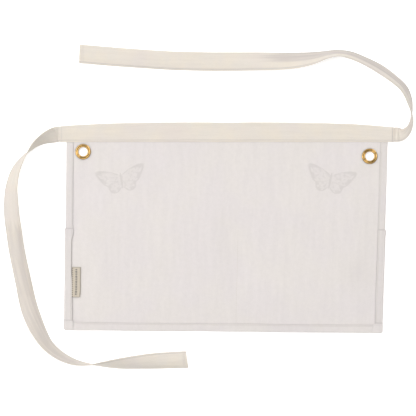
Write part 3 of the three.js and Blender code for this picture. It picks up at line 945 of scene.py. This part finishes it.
def add_stitch(shells, place, ahead, up, slot, seed):
    """One stitch at a place, lying along ahead on a surface that faces up."""
    jitter = np.random.default_rng(seed).uniform(-1, 1, 3)
    ahead = ahead / np.linalg.norm(ahead)
    up = up - ahead * (up @ ahead)
    up = up / np.linalg.norm(up)
    across = np.cross(up, ahead)
    ahead = ahead + across * 0.05 * jitter[0]
    scale = 1 + 0.05 * jitter[1]
    local = STITCH_POINTS * [scale, 1, 1]
    world = place + local[:, :1] * ahead + local[:, 1:2] * across + local[:, 2:] * up
    world = world + across * 0.05 * jitter[2]
    shells.add(world, STITCH_FACES, slot, world)


def add_tie_stitches(shells, ribbon, seam_share, seed):
    count = int((ribbon.length - 14) / STITCH_PITCH)
    across = np.linspace(-0.5 + 2.5 / TIE_WIDTH, 0.5 - 2.5 / TIE_WIDTH, 9)
    full = tie_section(seam_share)
    for face in (1, -1):
        depth = face * (TIE_CLOTH / 2 * 0.86)
        shares = np.array([seam_share, seam_share, seam_share + 0.02, *full[:, 0]])
        depths = np.array([depth, depth + face, depth, *full[:, 1]])
        for k in range(count):
            at = 6 + k * STITCH_PITCH
            here = tie_spot(ribbon, at, shares, depths, seed)
            there = tie_spot(ribbon, at + 1.0, shares, depths, seed)
            add_stitch(shells, here[0], there[0] - here[0], here[1] - here[0], 1, seed * 7919 + k * 2 + face)
        end = ribbon.length - 4.2
        depth = face * (TIE_CLOTH / 2 * 1.28)
        shares = np.concatenate([across, across, full[:, 0]])
        depths = np.concatenate([across * 0 + depth, across * 0 + depth + face, full[:, 1]])
        here = tie_spot(ribbon, end, shares, depths, seed)
        for k in range(len(across)):
            ahead = here[min(k + 1, 8)] - here[max(k - 1, 0)]
            add_stitch(shells, here[k], ahead, here[9 + k] - here[k], 1, seed * 104729 + k + 20 * face)


def tie_spot(ribbon, at, shares, depths, seed):
    wave = TIE_WAVE * tie_wave(at, shares, seed)
    side_wave = 0.008 * wander(at, 3, 33, seed + 1) * smooth(at / 30)
    points, lift = ribbon.ring(at, shares + side_wave, depths + wave)
    surface = points[-len(tie_section(0)) :]
    points[:, 2] += lift - surface[:, 2].min()
    return points


def seam_stitches(name, node, line, faces):
    """Stitches along a line of (x, y) drawn square, on the back and the front. faces holds
    (height by x and y, 1 for the back or -1 for the front), and laying a point is lay or not."""
    shells = Shells()
    line = np.asarray(line, float)
    steps = np.linalg.norm(np.diff(line, axis=0), axis=1)
    arc = np.concatenate([[0], np.cumsum(steps)])
    count = int(arc[-1] / STITCH_PITCH)
    at = (np.arange(count) + 0.5) * arc[-1] / count
    for height, up, placed in faces:
        for k, s in enumerate(at):
            spots = []
            for ds in (-1.0, 1.0):
                x, y = (np.interp(s + ds, arc, line[:, i]) for i in range(2))
                z = float(height(x, y))
                px, py = placed(x, y)
                spots.append(np.array([float(px), float(py), z]))
            place = (spots[0] + spots[1]) / 2
            normal = np.array([0, 0, up], float)
            add_stitch(shells, place + normal * 0.06, spots[1] - spots[0], normal, 0, 31 * k + len(name) + up)
    made = shells.build(name, [THREAD])
    place_piece(made, "apron", node)
    return made


def as_drawn(x, y):
    return x, y


def all_stitches():
    def hem_back(x, y):
        wave = 0.09 * wander(x, y, 19, 22)
        return HEM_TOP - 0.18 + wave

    def turned_back(x, y):
        return LIP_TOP - 0.12 + 0.08 * wander(y, np.sign(x) * 70, 21, 31)

    def flat_front(x, y):
        return 0.12

    def band_back(x, y):
        return BAND_TOP - 0.12

    def bottom_back(x, y):
        return LIP_TOP - 0.12 + 0.08 * wander(x, 10, 23, 33)

    y_seam = BAND_LOW + BAND_SEAM_INSET
    reach = BAND_HALF - 2.5
    faces = [(band_back, 1, as_drawn), (flat_front, -1, as_drawn)]
    seam_stitches("stitches_waistband", "thread_waistband", [(-reach, y_seam), (reach, y_seam)], faces)
    for side, word in ((-1, "left"), (1, "right")):
        x = side * (BAND_HALF - TIE_SEAM_INSET)
        top_y = BAND_LOW + float(band_height_at(x)) - 1.2
        seam_stitches(f"stitches_tie_{word}", f"thread_tie_{word}", [(x, y_seam + 1.6), (x, top_y)], faces)
        x = side * (HEM_LINE_X + HEM_SEAM_INSET)

        def hem_step(px, py):
            return hem_back(px, py) if py > MOUTH_Y + 0.4 else turned_back(px, py)

        def front_step(px, py):
            return BODY_BOTTOM if py > MOUTH_Y + 0.4 else 0.12

        line = [(x, OUTER_BOTTOM + CORNER_FOLD + 1), (x, BAND_LOW - 1)]
        steps = [(hem_step, 1, lay), (front_step, -1, lay)]
        seam_stitches(f"stitches_hem_{word}", f"thread_hem_{word}", line, steps)
    y = HEM_LINE_Y - HEM_SEAM_INSET
    reach = CORNER_X - 2
    faces = [(bottom_back, 1, lay), (flat_front, -1, lay)]
    seam_stitches("stitches_hem_bottom", "thread_hem_bottom", [(-reach, y), (reach, y)], faces)

    def divider_back(x, y):
        return BODY_TOP + body_lift(np.array(x), np.array(y)) - 0.08

    line = [(DIVIDER_X, HEM_LINE_Y + 1), (DIVIDER_X, MOUTH_Y)]
    faces = [(divider_back, 1, lay), (flat_front, -1, lay)]
    seam_stitches("stitches_pocket_divider", "thread_pocket_divider", line, faces)


# ---- The eyelets

ROUND_STEPS = 96


def eyelet_recess(radius, height):
    """The lip's outer edge meets the washer, and its inner side turns down into the bore."""
    return max(smooth((radius - 8.7) / 0.6), 0.9 * smooth((7.5 - radius) / 0.4))


def washer_recess(radius, height):
    return max(smooth((9.9 - radius) / 0.4), smooth((radius - 11.6) / 0.5))


EYELET_PROFILE = [
    (7.0, 0.9), (7.06, 0.55), (7.3, 0.28), (7.7, 0.2), (9.5, 0.2), (11.1, 0.2), (11.5, 0.28), (11.76, 0.5),
    (11.8, 0.8), (11.72, 1.08), (11.5, 1.2), (9.5, 1.22), (7.6, 1.22), (7.6, 2.5), (7.6, 3.82), (8.4, 3.82),
    (9.1, 3.8), (9.28, 3.9), (9.3, 4.05), (9.2, 4.24), (9.0, 4.4), (8.7, 4.52), (8.35, 4.59), (8.0, 4.58),
    (7.65, 4.48), (7.35, 4.28), (7.12, 4.0), (7.02, 3.6), (7.0, 3.0), (7.0, 2.0),
]
WASHER_PROFILE = [
    (7.95, 2.42), (9.5, 2.4), (11.6, 2.4), (11.95, 2.46), (12.1, 2.66), (12.1, 2.9), (12.02, 3.2),
    (11.84, 3.54), (11.58, 3.84), (11.26, 4.06), (10.9, 4.18), (10.52, 4.2), (10.16, 4.12), (9.86, 3.96),
    (9.66, 3.76), (9.56, 3.56), (9.3, 3.5), (8.5, 3.5), (7.95, 3.48),
]


def turned(name, node, profile, middle, material, recess):
    """A ring turned about a vertical axis from a closed profile of (radius, height). recess
    says how deep in a groove each point of the profile lies."""
    radii, heights = np.array(profile).T
    angles = np.linspace(0, 2 * math.pi, ROUND_STEPS, endpoint=False)
    rings = [
        np.stack([middle[0] + radii * math.cos(a), middle[1] + radii * math.sin(a), heights], -1)
        for a in angles
    ]
    around = len(profile)
    faces = []
    for i in range(ROUND_STEPS):
        j = (i + 1) % ROUND_STEPS
        for k in range(around):
            m = (k + 1) % around
            faces.append((i * around + k, i * around + m, j * around + m, j * around + k))
    shells = Shells()
    deep = np.tile([recess(r, z) for r, z in profile], (ROUND_STEPS, 1))
    shells.add(np.array(rings), faces, crease=deep)
    made = shells.build(name, [material])
    place_piece(made, "apron", node)


# ---- The label


def label_piece():
    """A woven strip folded in two, its fold at the free edge, with a row of plain diamonds."""
    low, high = (np.array(c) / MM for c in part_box("label"))
    middle_y = (low[1] + high[1]) / 2 - LABEL_DROP
    left = -HEM_LINE_X + 0.1
    right = left + 13.6
    base = BODY_TOP + GAP + 0.75
    thick = 2 * LABEL_LEAF + 0.26
    bar = right - thick / 2
    leaf_x = [left, left + 0.8, left + 1.6, left + 3, left + 5, left + 7, left + 9, left + 11, bar - 0.6]
    turns = np.linspace(-math.pi / 2, math.pi / 2, 9)
    reach = thick / 2 - LABEL_LEAF / 2
    arc = [(bar + reach * math.cos(a), base + thick / 2 + reach * math.sin(a)) for a in turns]
    lower = [(x, base + LABEL_LEAF / 2) for x in leaf_x]
    upper = [(x, base + thick - LABEL_LEAF / 2) for x in leaf_x]
    outline = thick_line(lower + arc + upper[::-1], LABEL_LEAF)

    def settle(x, y, z):
        """The label's own gentle curl, and its lower free corner drawn in."""
        share = (x - left) / (right - left)
        down = (middle_y + LABEL_HEIGHT / 2 - y) / LABEL_HEIGHT
        z = z + 0.55 * share**2 * (0.5 + 0.5 * np.cos(2.2 * down * math.pi)) + 0.1 * np.sin(9 * down + 1)
        x = x - 0.9 * smooth((down - 0.72) / 0.3) * share - 0.15 * np.sin(5 * down) * share
        return x, y, z

    last = [LABEL_HEIGHT - 0.3, LABEL_HEIGHT - 0.1, LABEL_HEIGHT]
    ys = np.concatenate([[0, 0.1, 0.3], spaced(1, LABEL_HEIGHT - 1, 1.6), last])
    rings = Rings()
    for t in ys:
        y = middle_y - LABEL_HEIGHT / 2 + t
        edge = min(t, LABEL_HEIGHT - t)
        z = base + thick / 2 + (outline[:, 1] - base - thick / 2) * (1 - 0.12 * (1 - smooth(edge / 0.3)))
        x, yy, z = settle(outline[:, 0], y + 0 * z, z)
        px, py = lay(x, yy)
        rings.add((px, py, z), (outline[:, 0] - left, t + 0 * x, z))
    shells = Shells()
    rings.close(shells)
    add_label_marks(shells, left, middle_y, base + thick, settle)
    made = shells.build("label_woven", [LABEL_WEAVE, LABEL_MARK])
    place_piece(made, "label", "label")


MARK_COUNT = 16
MARK_INSET, MARK_PITCH, MARK_HALF_WIDE = 6.6, 2.6, 2.3
MARK_LONG, MARK_SHORT = 1.15, 0.85


def add_label_marks(shells, left, middle_y, top, settle):
    """A row of small raised diamonds down the middle, all alike but for their length."""
    for k in range(MARK_COUNT):
        x = left + MARK_INSET
        y = middle_y + (k - (MARK_COUNT - 1) / 2) * MARK_PITCH
        half_long = MARK_LONG if k % 3 else MARK_SHORT
        corners = [(0, -half_long), (MARK_HALF_WIDE, 0), (0, half_long), (-MARK_HALF_WIDE, 0)]
        ring = []
        for grow, z in ((1.0, top - 0.06), (1.0, top + 0.03), (0.55, top + 0.1)):
            ring += [(x + grow * a, y + grow * b, z) for a, b in corners]
        spots = np.array(ring)
        sx, sy, sz = settle(spots[:, 0], spots[:, 1], spots[:, 2])
        px, py = lay(sx, sy)
        faces = [(3, 2, 1, 0), (8, 9, 10, 11)]
        for row in (0, 4):
            faces += [(row + c, row + (c + 1) % 4, row + 4 + (c + 1) % 4, row + 4 + c) for c in range(4)]
        shells.add(np.stack([px, py, sz], -1), faces, 1)


# ---- Materials


class Value:
    """What a node gives out, with arithmetic that makes more nodes."""

    def __init__(self, graph, socket):
        self.graph, self.socket = graph, socket

    def __add__(self, other):
        return self.graph.math("ADD", self, other)

    def __sub__(self, other):
        return self.graph.math("SUBTRACT", self, other)

    def __rsub__(self, other):
        return self.graph.math("SUBTRACT", other, self)

    def __mul__(self, other):
        return self.graph.math("MULTIPLY", self, other)

    def __truediv__(self, other):
        return self.graph.math("DIVIDE", self, other)

    def __pow__(self, other):
        return self.graph.math("POWER", self, other)

    def __abs__(self):
        return self.graph.math("ABSOLUTE", self)


class Graph:
    """The nodes of a material or a world, with short calls for making them."""

    def __init__(self, owner, shader="Principled BSDF"):
        owner.use_nodes = True
        self.owner, self.tree = owner, owner.node_tree
        self.shader = self.tree.nodes[shader]

    def put(self, socket, value):
        if isinstance(value, Value):
            self.tree.links.new(value.socket, socket)
        else:
            socket.default_value = value

    def node(self, kind, inputs, output=0, **settings):
        made = self.tree.nodes.new("ShaderNode" + kind)
        for key, value in settings.items():
            setattr(made, key, value)
        for key, value in inputs.items():
            self.put(made.inputs[key], value)
        return Value(self, made.outputs[output])

    def math(self, operation, *values, clamp=False):
        return self.node("Math", dict(enumerate(values)), operation=operation, use_clamp=clamp)

    def most(self, first, *others):
        """The greatest of the values."""
        for other in others:
            first = self.math("MAXIMUM", first, other)
        return first

    def ramp(self, value, low, high):
        """0 below low and 1 above high, smooth between them."""
        inputs = {"Value": value, "From Min": low, "From Max": high}
        return self.node("MapRange", inputs, interpolation_type="SMOOTHSTEP")

    def mix(self, share, a, b):
        return self.node("Mix", {0: share, 6: a, 7: b}, 2, data_type="RGBA")

    def noise(self, vector, scale, detail=3.0, rough=0.55):
        inputs = {"Vector": vector, "Scale": scale, "Detail": detail, "Roughness": rough}
        return self.node("TexNoise", inputs, "Fac")

    def stretched(self, vector, *scales):
        return self.node("Mapping", {"Vector": vector, "Scale": scales})

    def parts(self, vector):
        made = self.tree.nodes.new("ShaderNodeSeparateXYZ")
        self.put(made.inputs[0], vector)
        return [Value(self, out) for out in made.outputs]

    def scaled(self, vector, factor):
        return self.node("VectorMath", {0: vector, "Scale": factor}, operation="SCALE")

    def flat(self):
        """Place on the flat cloth, in millimetres."""
        return self.scaled(self.node("Attribute", {}, "Vector", attribute_name="cloth"), 1 / MM)

    def place(self):
        return self.node("TexCoord", {}, "Object")

    def crease(self):
        """The crease attribute, 0 to 1: painted shade in folds, seams and shaded stretches, and on the brass
        the stain in its grooves.
        """
        return self.node("Attribute", {}, "Fac", attribute_name="crease")

    def rib(self, value, pitch):
        """0 to 1 and back, once in each pitch."""
        return abs(self.math("SINE", value * (math.pi / pitch)))

    def plain_weave(self, vector, pitch):
        """Height of a plain weave, 0 to 1: warp over weft and weft over warp by turns."""
        u, v, _ = self.parts(vector)
        count = self.math("FLOOR", u / pitch) + self.math("FLOOR", v / pitch)
        over = self.math("PINGPONG", count, 1.0) * 0.45
        return self.most(self.rib(u, pitch) * (over + 0.55), self.rib(v, pitch) * (1.0 - over))

    def uneven(self, *parts):
        """The shades of all parts in one, from (height, rise, level at no height)."""
        shade = None
        for height, rise, level in parts:
            here = height * rise + level
            shade = here if shade is None else shade * here
        return shade

    def bump(self, heights):
        """One bump over the other, from (height, strength, distance in millimetres)."""
        normal = None
        for height, strength, distance in heights:
            inputs = {"Height": height, "Strength": strength, "Distance": distance * MM}
            if normal is not None:
                inputs["Normal"] = normal
            normal = self.node("Bump", inputs)
        self.put(self.shader.inputs["Normal"], normal)

    def finish(self, colour, heights=(), **sockets):
        """Sets the shader's sockets and returns the material."""
        if heights:
            self.bump(heights)
        self.put(self.shader.inputs["Base Color"], colour)
        for key, value in sockets.items():
            self.put(self.shader.inputs[key.replace("_", " ")], value)
        return self.owner


COTTON_COOL = (0.711, 0.675, 0.673, 1)
COTTON_WARM = (0.72, 0.686, 0.667, 1)
COTTON_PITCH = 0.62
INK = (0.16, 0.14, 0.12, 1)
CREAM_COOL = (0.715, 0.67, 0.61, 1)
CREAM_WARM = (0.735, 0.68, 0.60, 1)
# The tape's rosy grey: its random rosy patches, and its painted shade
CREAM_ROSY = (0.69, 0.635, 0.608, 1)
CREAM_PITCH = 0.5
FLECK = (0.45, 0.36, 0.25, 1)
THREAD_LOW, THREAD_HIGH = (0.57, 0.53, 0.49, 1), (0.66, 0.625, 0.585, 1)
BRASS_DEEP, BRASS_PALE = (0.60, 0.38, 0.13, 1), (0.70, 0.48, 0.20, 1)
BRASS_STAIN = (0.2, 0.09, 0.02, 1)
LABEL_DIM, LABEL_PALE = (0.55, 0.49, 0.40, 1), (0.61, 0.55, 0.46, 1)
LABEL_DARK = (0.13, 0.11, 0.09, 1)
MARK_LOW, MARK_HIGH = (0.13, 0.125, 0.12, 1), (0.24, 0.23, 0.22, 1)
FLOOR_LOW, FLOOR_HIGH = (0.78, 0.78, 0.78, 1), (0.8, 0.8, 0.8, 1)
FLOOR_GLOW = 0.5
SKY_LEVEL = 0.64

# Outline of half a butterfly: its reach by direction, from straight down to straight up
WING_TURNS = [0.0, 0.07, 0.14, 0.22, 0.3, 0.36, 0.42, 0.47, 0.53, 0.59, 0.645, 0.68, 0.73, 0.8, 0.9, 1.0]
WING_REACHES = [8, 11, 17.5, 21, 22.5, 21, 20.5, 25, 28, 33, 40, 36, 24, 14.5, 9, 6]
WING_MOST = 40
WING_SPLIT = 0.43  # the direction between the fore and hind wing
BODY_SLIM, BODY_LONG = 1.5, 12.0
PRINT_SCALE = 1.13
PRINTS = ((-163.5, -75.5, 11.0), (162.0, -75.5, -11.0))  # middle and tilt of each


def wing_print(graph, flat, centre):
    """Ink of a plain butterfly of smooth wings with a dark edge, light spots and thin veins."""
    x0, y0, tilt = centre
    inputs = {"Vector": flat, "Center": (x0, y0, 0), "Angle": math.radians(-tilt)}
    x, y, _ = graph.parts(graph.node("VectorRotate", inputs, rotation_type="Z_AXIS"))
    a = abs(x - x0) / PRINT_SCALE
    b = (y - y0) / PRINT_SCALE
    turn = graph.math("ARCTAN2", b, a) * (1 / math.pi) + 0.5
    outline = graph.node("ValToRGB", {"Fac": turn})
    curve = outline.socket.node.color_ramp
    curve.interpolation = "B_SPLINE"
    for at, far in zip(WING_TURNS, WING_REACHES):
        stop = curve.elements.new(at) if 0 < at < 1 else curve.elements[-int(at)]
        stop.color = (far / WING_MOST,) * 3 + (1,)
    share = graph.math("SQRT", a * a + b * b) / (outline * WING_MOST)
    spots = graph.ramp(graph.math("SINE", turn * 44.0), 0.25, 0.8)
    spots = spots * graph.ramp(share, 0.74, 0.8) * graph.ramp(share, 0.92, 0.86)
    ink = graph.most(
        graph.ramp(share, 0.66, 0.84) * 0.95,
        graph.ramp(abs(graph.math("SINE", turn * 30.0)), 0.2, 0.04) * 0.6,
        graph.ramp(abs(turn - WING_SPLIT), 0.03, 0.01) * 0.7,
        graph.ramp(graph.noise(flat, 0.2, 2.0), 0.48, 0.6) * 0.75,
        0.22,
    )
    ink = ink * (spots * -0.8 + 1.0) * graph.ramp(share, 1.04, 0.94)
    body = (a / BODY_SLIM) ** 2.0 + (b / BODY_LONG) ** 2.0
    return graph.most(ink, graph.ramp(body, 1.1, 0.7))


def cotton(name, print_strength):
    """White plain-weave cotton, with the printed butterflies at some strength."""
    graph = Graph(bpy.data.materials.new(name))
    flat = graph.flat()
    weave = graph.plain_weave(flat, COTTON_PITCH)
    slub = graph.noise(graph.stretched(flat, 0.25, 2.2, 1), 1.0, 2.0)
    rumple = graph.noise(flat, 0.055, 4.0, 0.6)
    blotch = graph.noise(flat, 0.16, 3.0, 0.65)
    streak = graph.noise(graph.stretched(flat, 0.11, 0.016, 1), 1.0, 3.0, 0.6)
    colour = graph.mix(graph.ramp(graph.noise(flat, 0.012), 0.35, 0.65), COTTON_COOL, COTTON_WARM)
    ink = graph.most(*[wing_print(graph, flat, p) for p in PRINTS])
    ink = ink * (graph.noise(flat, 1.4, 2.0) * 0.5 + 0.72)
    colour = graph.mix(ink * print_strength, colour, INK)
    # The crease attribute darkens the cloth as painted shade in its folds and seams
    shade = graph.uneven(
        (weave, 0.06, 0.955), (slub, 0.05, 0.975), (blotch, 0.09, 0.955), (streak, 0.09, 0.955),
        (graph.crease(), -0.2, 1.0),
    )
    heights = [
        (rumple, 0.5, 1.0), (streak, 0.4, 0.9), (blotch, 0.25, 0.35), (slub, 0.2, 0.08), (weave, 0.45, 0.1),
    ]
    return graph.finish(
        graph.scaled(colour, shade), heights,
        Roughness=0.92, Sheen_Weight=0.12, Sheen_Roughness=0.5, Specular_IOR_Level=0.2,
    )


def cream_tape():
    """Natural cotton tape: a close weave with flecks of darker fibre, rosy in random patches, and
    given a rosy grey painted shade where the crease attribute says.
    """
    graph = Graph(bpy.data.materials.new("tape_cream"))
    flat, crease = graph.flat(), graph.crease()
    weave = graph.plain_weave(flat, CREAM_PITCH)
    slub = graph.noise(graph.stretched(flat, 0.22, 2.4, 1), 1.0, 3.0)
    streak = graph.noise(graph.stretched(flat, 0.018, 0.3, 1), 1.0, 3.0, 0.6)
    rumple = graph.noise(flat, 0.09, 4.0, 0.6)
    colour = graph.mix(graph.ramp(graph.noise(flat, 0.03), 0.35, 0.65), CREAM_COOL, CREAM_WARM)
    colour = graph.mix(graph.ramp(graph.noise(flat, 1.1, 2.0), 0.66, 0.74) * 0.25, colour, FLECK)
    # Random rosy patches, and painted shade in rosy grey where the crease attribute is high
    rosy = graph.ramp(graph.noise(flat, 0.011, 2.0), 0.45, 0.7) * 0.6
    rosy = graph.most(rosy, graph.math("MULTIPLY", crease, 1.3, clamp=True))
    colour = graph.mix(rosy, colour, CREAM_ROSY)
    # The crease attribute also darkens the tape as painted shade
    shade = graph.uneven((weave, 0.08, 0.94), (slub, 0.08, 0.96), (streak, 0.12, 0.94), (crease, -0.3, 1.0))
    heights = [(rumple, 0.5, 0.8), (streak, 0.45, 0.6), (slub, 0.25, 0.08), (weave, 0.45, 0.07)]
    return graph.finish(
        graph.scaled(colour, shade), heights,
        Roughness=0.88, Sheen_Weight=0.15, Sheen_Roughness=0.5, Specular_IOR_Level=0.22,
    )


def twisted(name, direction, scale, distortion, low, high, depth, **sockets):
    """Thread, with the bands of its twist."""
    graph = Graph(bpy.data.materials.new(name))
    inputs = {"Vector": graph.place(), "Scale": scale, "Distortion": distortion}
    band = graph.node("TexWave", inputs, "Fac", bands_direction=direction)
    return graph.finish(graph.mix(band, low, high), [(band, 0.5, depth)], Roughness=0.6, **sockets)


def brass():
    """Polished brass, a little smeared with use, stained in its grooves."""
    graph = Graph(bpy.data.materials.new("brass"))
    place = graph.place()
    smear = graph.noise(place, 420)
    scratch = graph.noise(graph.stretched(place, 1, 1, 9), 2600, 2.0)
    stain = graph.math("MULTIPLY", graph.crease(), graph.noise(place, 160, 2.0) * 1.2 + 0.25, clamp=True)
    colour = graph.mix(graph.ramp(smear, 0.35, 0.7), BRASS_DEEP, BRASS_PALE)
    return graph.finish(
        graph.mix(stain, colour, BRASS_STAIN), [(smear, 0.12, 0.12), (scratch, 0.08, 0.02)],
        Metallic=1.0, Roughness=smear * 0.12 + 0.05,
    )


def label_weave():
    """Beige woven label: fine ribs across it, dark dashes of stitching on the sewn edge, painted
    shade along the folded edge, and darker top and bottom edges.
    """
    graph = Graph(bpy.data.materials.new("label"))
    flat = graph.flat()
    x, y, _ = graph.parts(flat)
    weave = graph.rib(y, 0.42) * 0.7 + graph.rib(x, 0.3) * 0.3
    dashes = graph.math("SINE", y * 2.0) * 0.6 + 0.6
    # Stitch dashes on the sewn edge, painted shade along the folded edge, darker top and bottom
    dark = graph.most(
        graph.ramp(abs(x - 1.0), 0.8, 0.4) * dashes,
        graph.ramp(abs(x - 13.0), 0.9, 0.3) * 0.6,
        graph.ramp(abs(y - LABEL_HEIGHT / 2), 22.6, 23.0) * 0.6,
    )
    tone = graph.mix(graph.noise(flat, 0.3, 2.0), LABEL_DIM, LABEL_PALE)
    tone = graph.scaled(graph.mix(dark * 0.85, tone, LABEL_DARK), weave * 0.14 + 0.9)
    return graph.finish(tone, [(weave, 0.6, 0.09)], Roughness=0.6, Sheen_Weight=0.15, Specular_IOR_Level=0.35)


def floor_paint():
    """A pale table that lifts its own shadows."""
    graph = Graph(bpy.data.materials.new("floor"))
    tone = graph.mix(graph.noise(graph.place(), 3.0, 2.0), FLOOR_LOW, FLOOR_HIGH)
    return graph.finish(
        tone, Emission_Color=(1, 1, 1, 1), Emission_Strength=FLOOR_GLOW, Roughness=0.9, Specular_IOR_Level=0.1
    )


COTTON_BACK = cotton("cotton_back", 0.15)
COTTON_FRONT = cotton("cotton_front", 0.55)
TAPE_CREAM = cream_tape()
THREAD = twisted(
    "thread", "DIAGONAL", 900, 0.6, THREAD_LOW, THREAD_HIGH, 0.06, Sheen_Weight=0.1, Specular_IOR_Level=0.35
)
BRASS = brass()
LABEL_WEAVE = label_weave()
LABEL_MARK = twisted("label_mark", "Y", 1100, 0.0, MARK_LOW, MARK_HIGH, 0.05)

# ---- Camera, light and table

FRAME_WIDTH = 648
CAMERA_AT = (-29.6, -118.0)
CAMERA_HEIGHT = 2400
CAMERA_CLIP = (0.05, 20)
SENSOR = 36
KEY_AT, KEY_AIM = (-0.9, 0.35, 2.0), (0, -0.12, 0)
KEY_SIZE, KEY_POWER, KEY_COLOUR = 0.9, 9, (1.0, 0.985, 0.965)
FLOOR_REACH = 6
FLOOR_Z = -0.0004

# The sky is one colour straight down, with others laid over it in turn: where, the cosines
# from it at which each begins and is full, and its colour
SKY_BELOW = (0.5, 0.5, 0.5, 1)
SKY = (
    ((0, 0, 1), -1.0, -0.9, (0.5, 0.5, 0.505, 1)),
    ((-0.25, -1, 0.3), 0.3, 0.95, (0.95, 0.945, 0.94, 1)),
    ((0, 0, 1), 0.12, 0.85, (1.34, 1.33, 1.32, 1)),
    ((0.45, 0.5, 0.6), 0.965, 0.985, (9, 8.8, 8.6, 1)),
    ((-0.7, -0.1, 0.6), 0.97, 0.985, (9, 8.8, 8.6, 1)),
    ((0.6, -0.6, 0.55), 0.88, 0.94, (0.03, 0.03, 0.03, 1)),
)


def add_object(name, data):
    made = bpy.data.objects.new(name, data)
    bpy.context.scene.collection.objects.link(made)
    return made


def camera():
    data = bpy.data.cameras.new("camera")
    data.sensor_width = SENSOR
    data.lens = SENSOR * CAMERA_HEIGHT / FRAME_WIDTH
    data.clip_start, data.clip_end = CAMERA_CLIP
    made = add_object("camera", data)
    made.location = Vector((*CAMERA_AT, CAMERA_HEIGHT)) * MM
    bpy.context.scene.camera = made


def key_light():
    data = bpy.data.lights.new("key", "AREA")
    data.size = KEY_SIZE
    data.energy = KEY_POWER
    data.color = KEY_COLOUR
    made = add_object("key", data)
    made.location = KEY_AT
    made.rotation_euler = (Vector(KEY_AIM) - Vector(KEY_AT)).to_track_quat("-Z", "Y").to_euler()


def studio():
    graph = Graph(bpy.data.worlds.new("studio"), "Background")
    direction = graph.node("TexCoord", {}, "Generated")
    colour = SKY_BELOW
    for middle, begins, full, tint in SKY:
        inputs = {0: direction, 1: Vector(middle).normalized()}
        near = graph.node("VectorMath", inputs, "Value", operation="DOT_PRODUCT")
        colour = graph.mix(graph.ramp(near, begins, full), colour, tint)
    graph.put(graph.shader.inputs["Color"], colour)
    graph.put(graph.shader.inputs["Strength"], SKY_LEVEL)
    bpy.context.scene.world = graph.owner
    bpy.context.scene.view_settings.view_transform = "Standard"


def table():
    mesh = bpy.data.meshes.new("floor")
    signs = ((-1, -1), (1, -1), (1, 1), (-1, 1))
    mesh.from_pydata([(x * FLOOR_REACH, y * FLOOR_REACH, 0) for x, y in signs], [], [(0, 1, 2, 3)])
    mesh.materials.append(floor_paint())
    made = add_object("floor", mesh)
    made.location.z = FLOOR_Z


# ---- The object


def build_apron():
    body = body_cloth()
    place_piece(body, "apron", "body_panel")

    pocket = pocket_cloth()
    place_piece(pocket, "apron", "pocket_panel")

    band = waistband_tape()
    place_piece(band, "apron", "waistband")

    for side, word, route, seed in ((-1, "left", LEFT_ROUTE, 61), (1, "right", RIGHT_ROUTE, 71)):
        name = f"tie_{word}"
        root, tie, ribbon = tie_pieces(route, side, name, seed)
        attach(tie, name)
        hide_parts(name)
        middle = (side * BAND_HALF * MM, ribbon.seam_y * MM, BAND_TOP / 2 * MM)
        start = (side * (BAND_HALF + 0.2) * MM, *middle[1:])
        end = (side * (TIE_START + ROOT_OUT - 0.6) * MM, *middle[1:])
        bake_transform(root)
        turned(f"eyelet_{word}_brass", f"eyelet_{word}", EYELET_PROFILE, EYELETS[side], BRASS, eyelet_recess)
        turned(f"washer_{word}_brass", f"washer_{word}", WASHER_PROFILE, EYELETS[side], BRASS, washer_recess)

    label_piece()
    all_stitches()


camera()
key_light()
studio()
table()
build_apron()
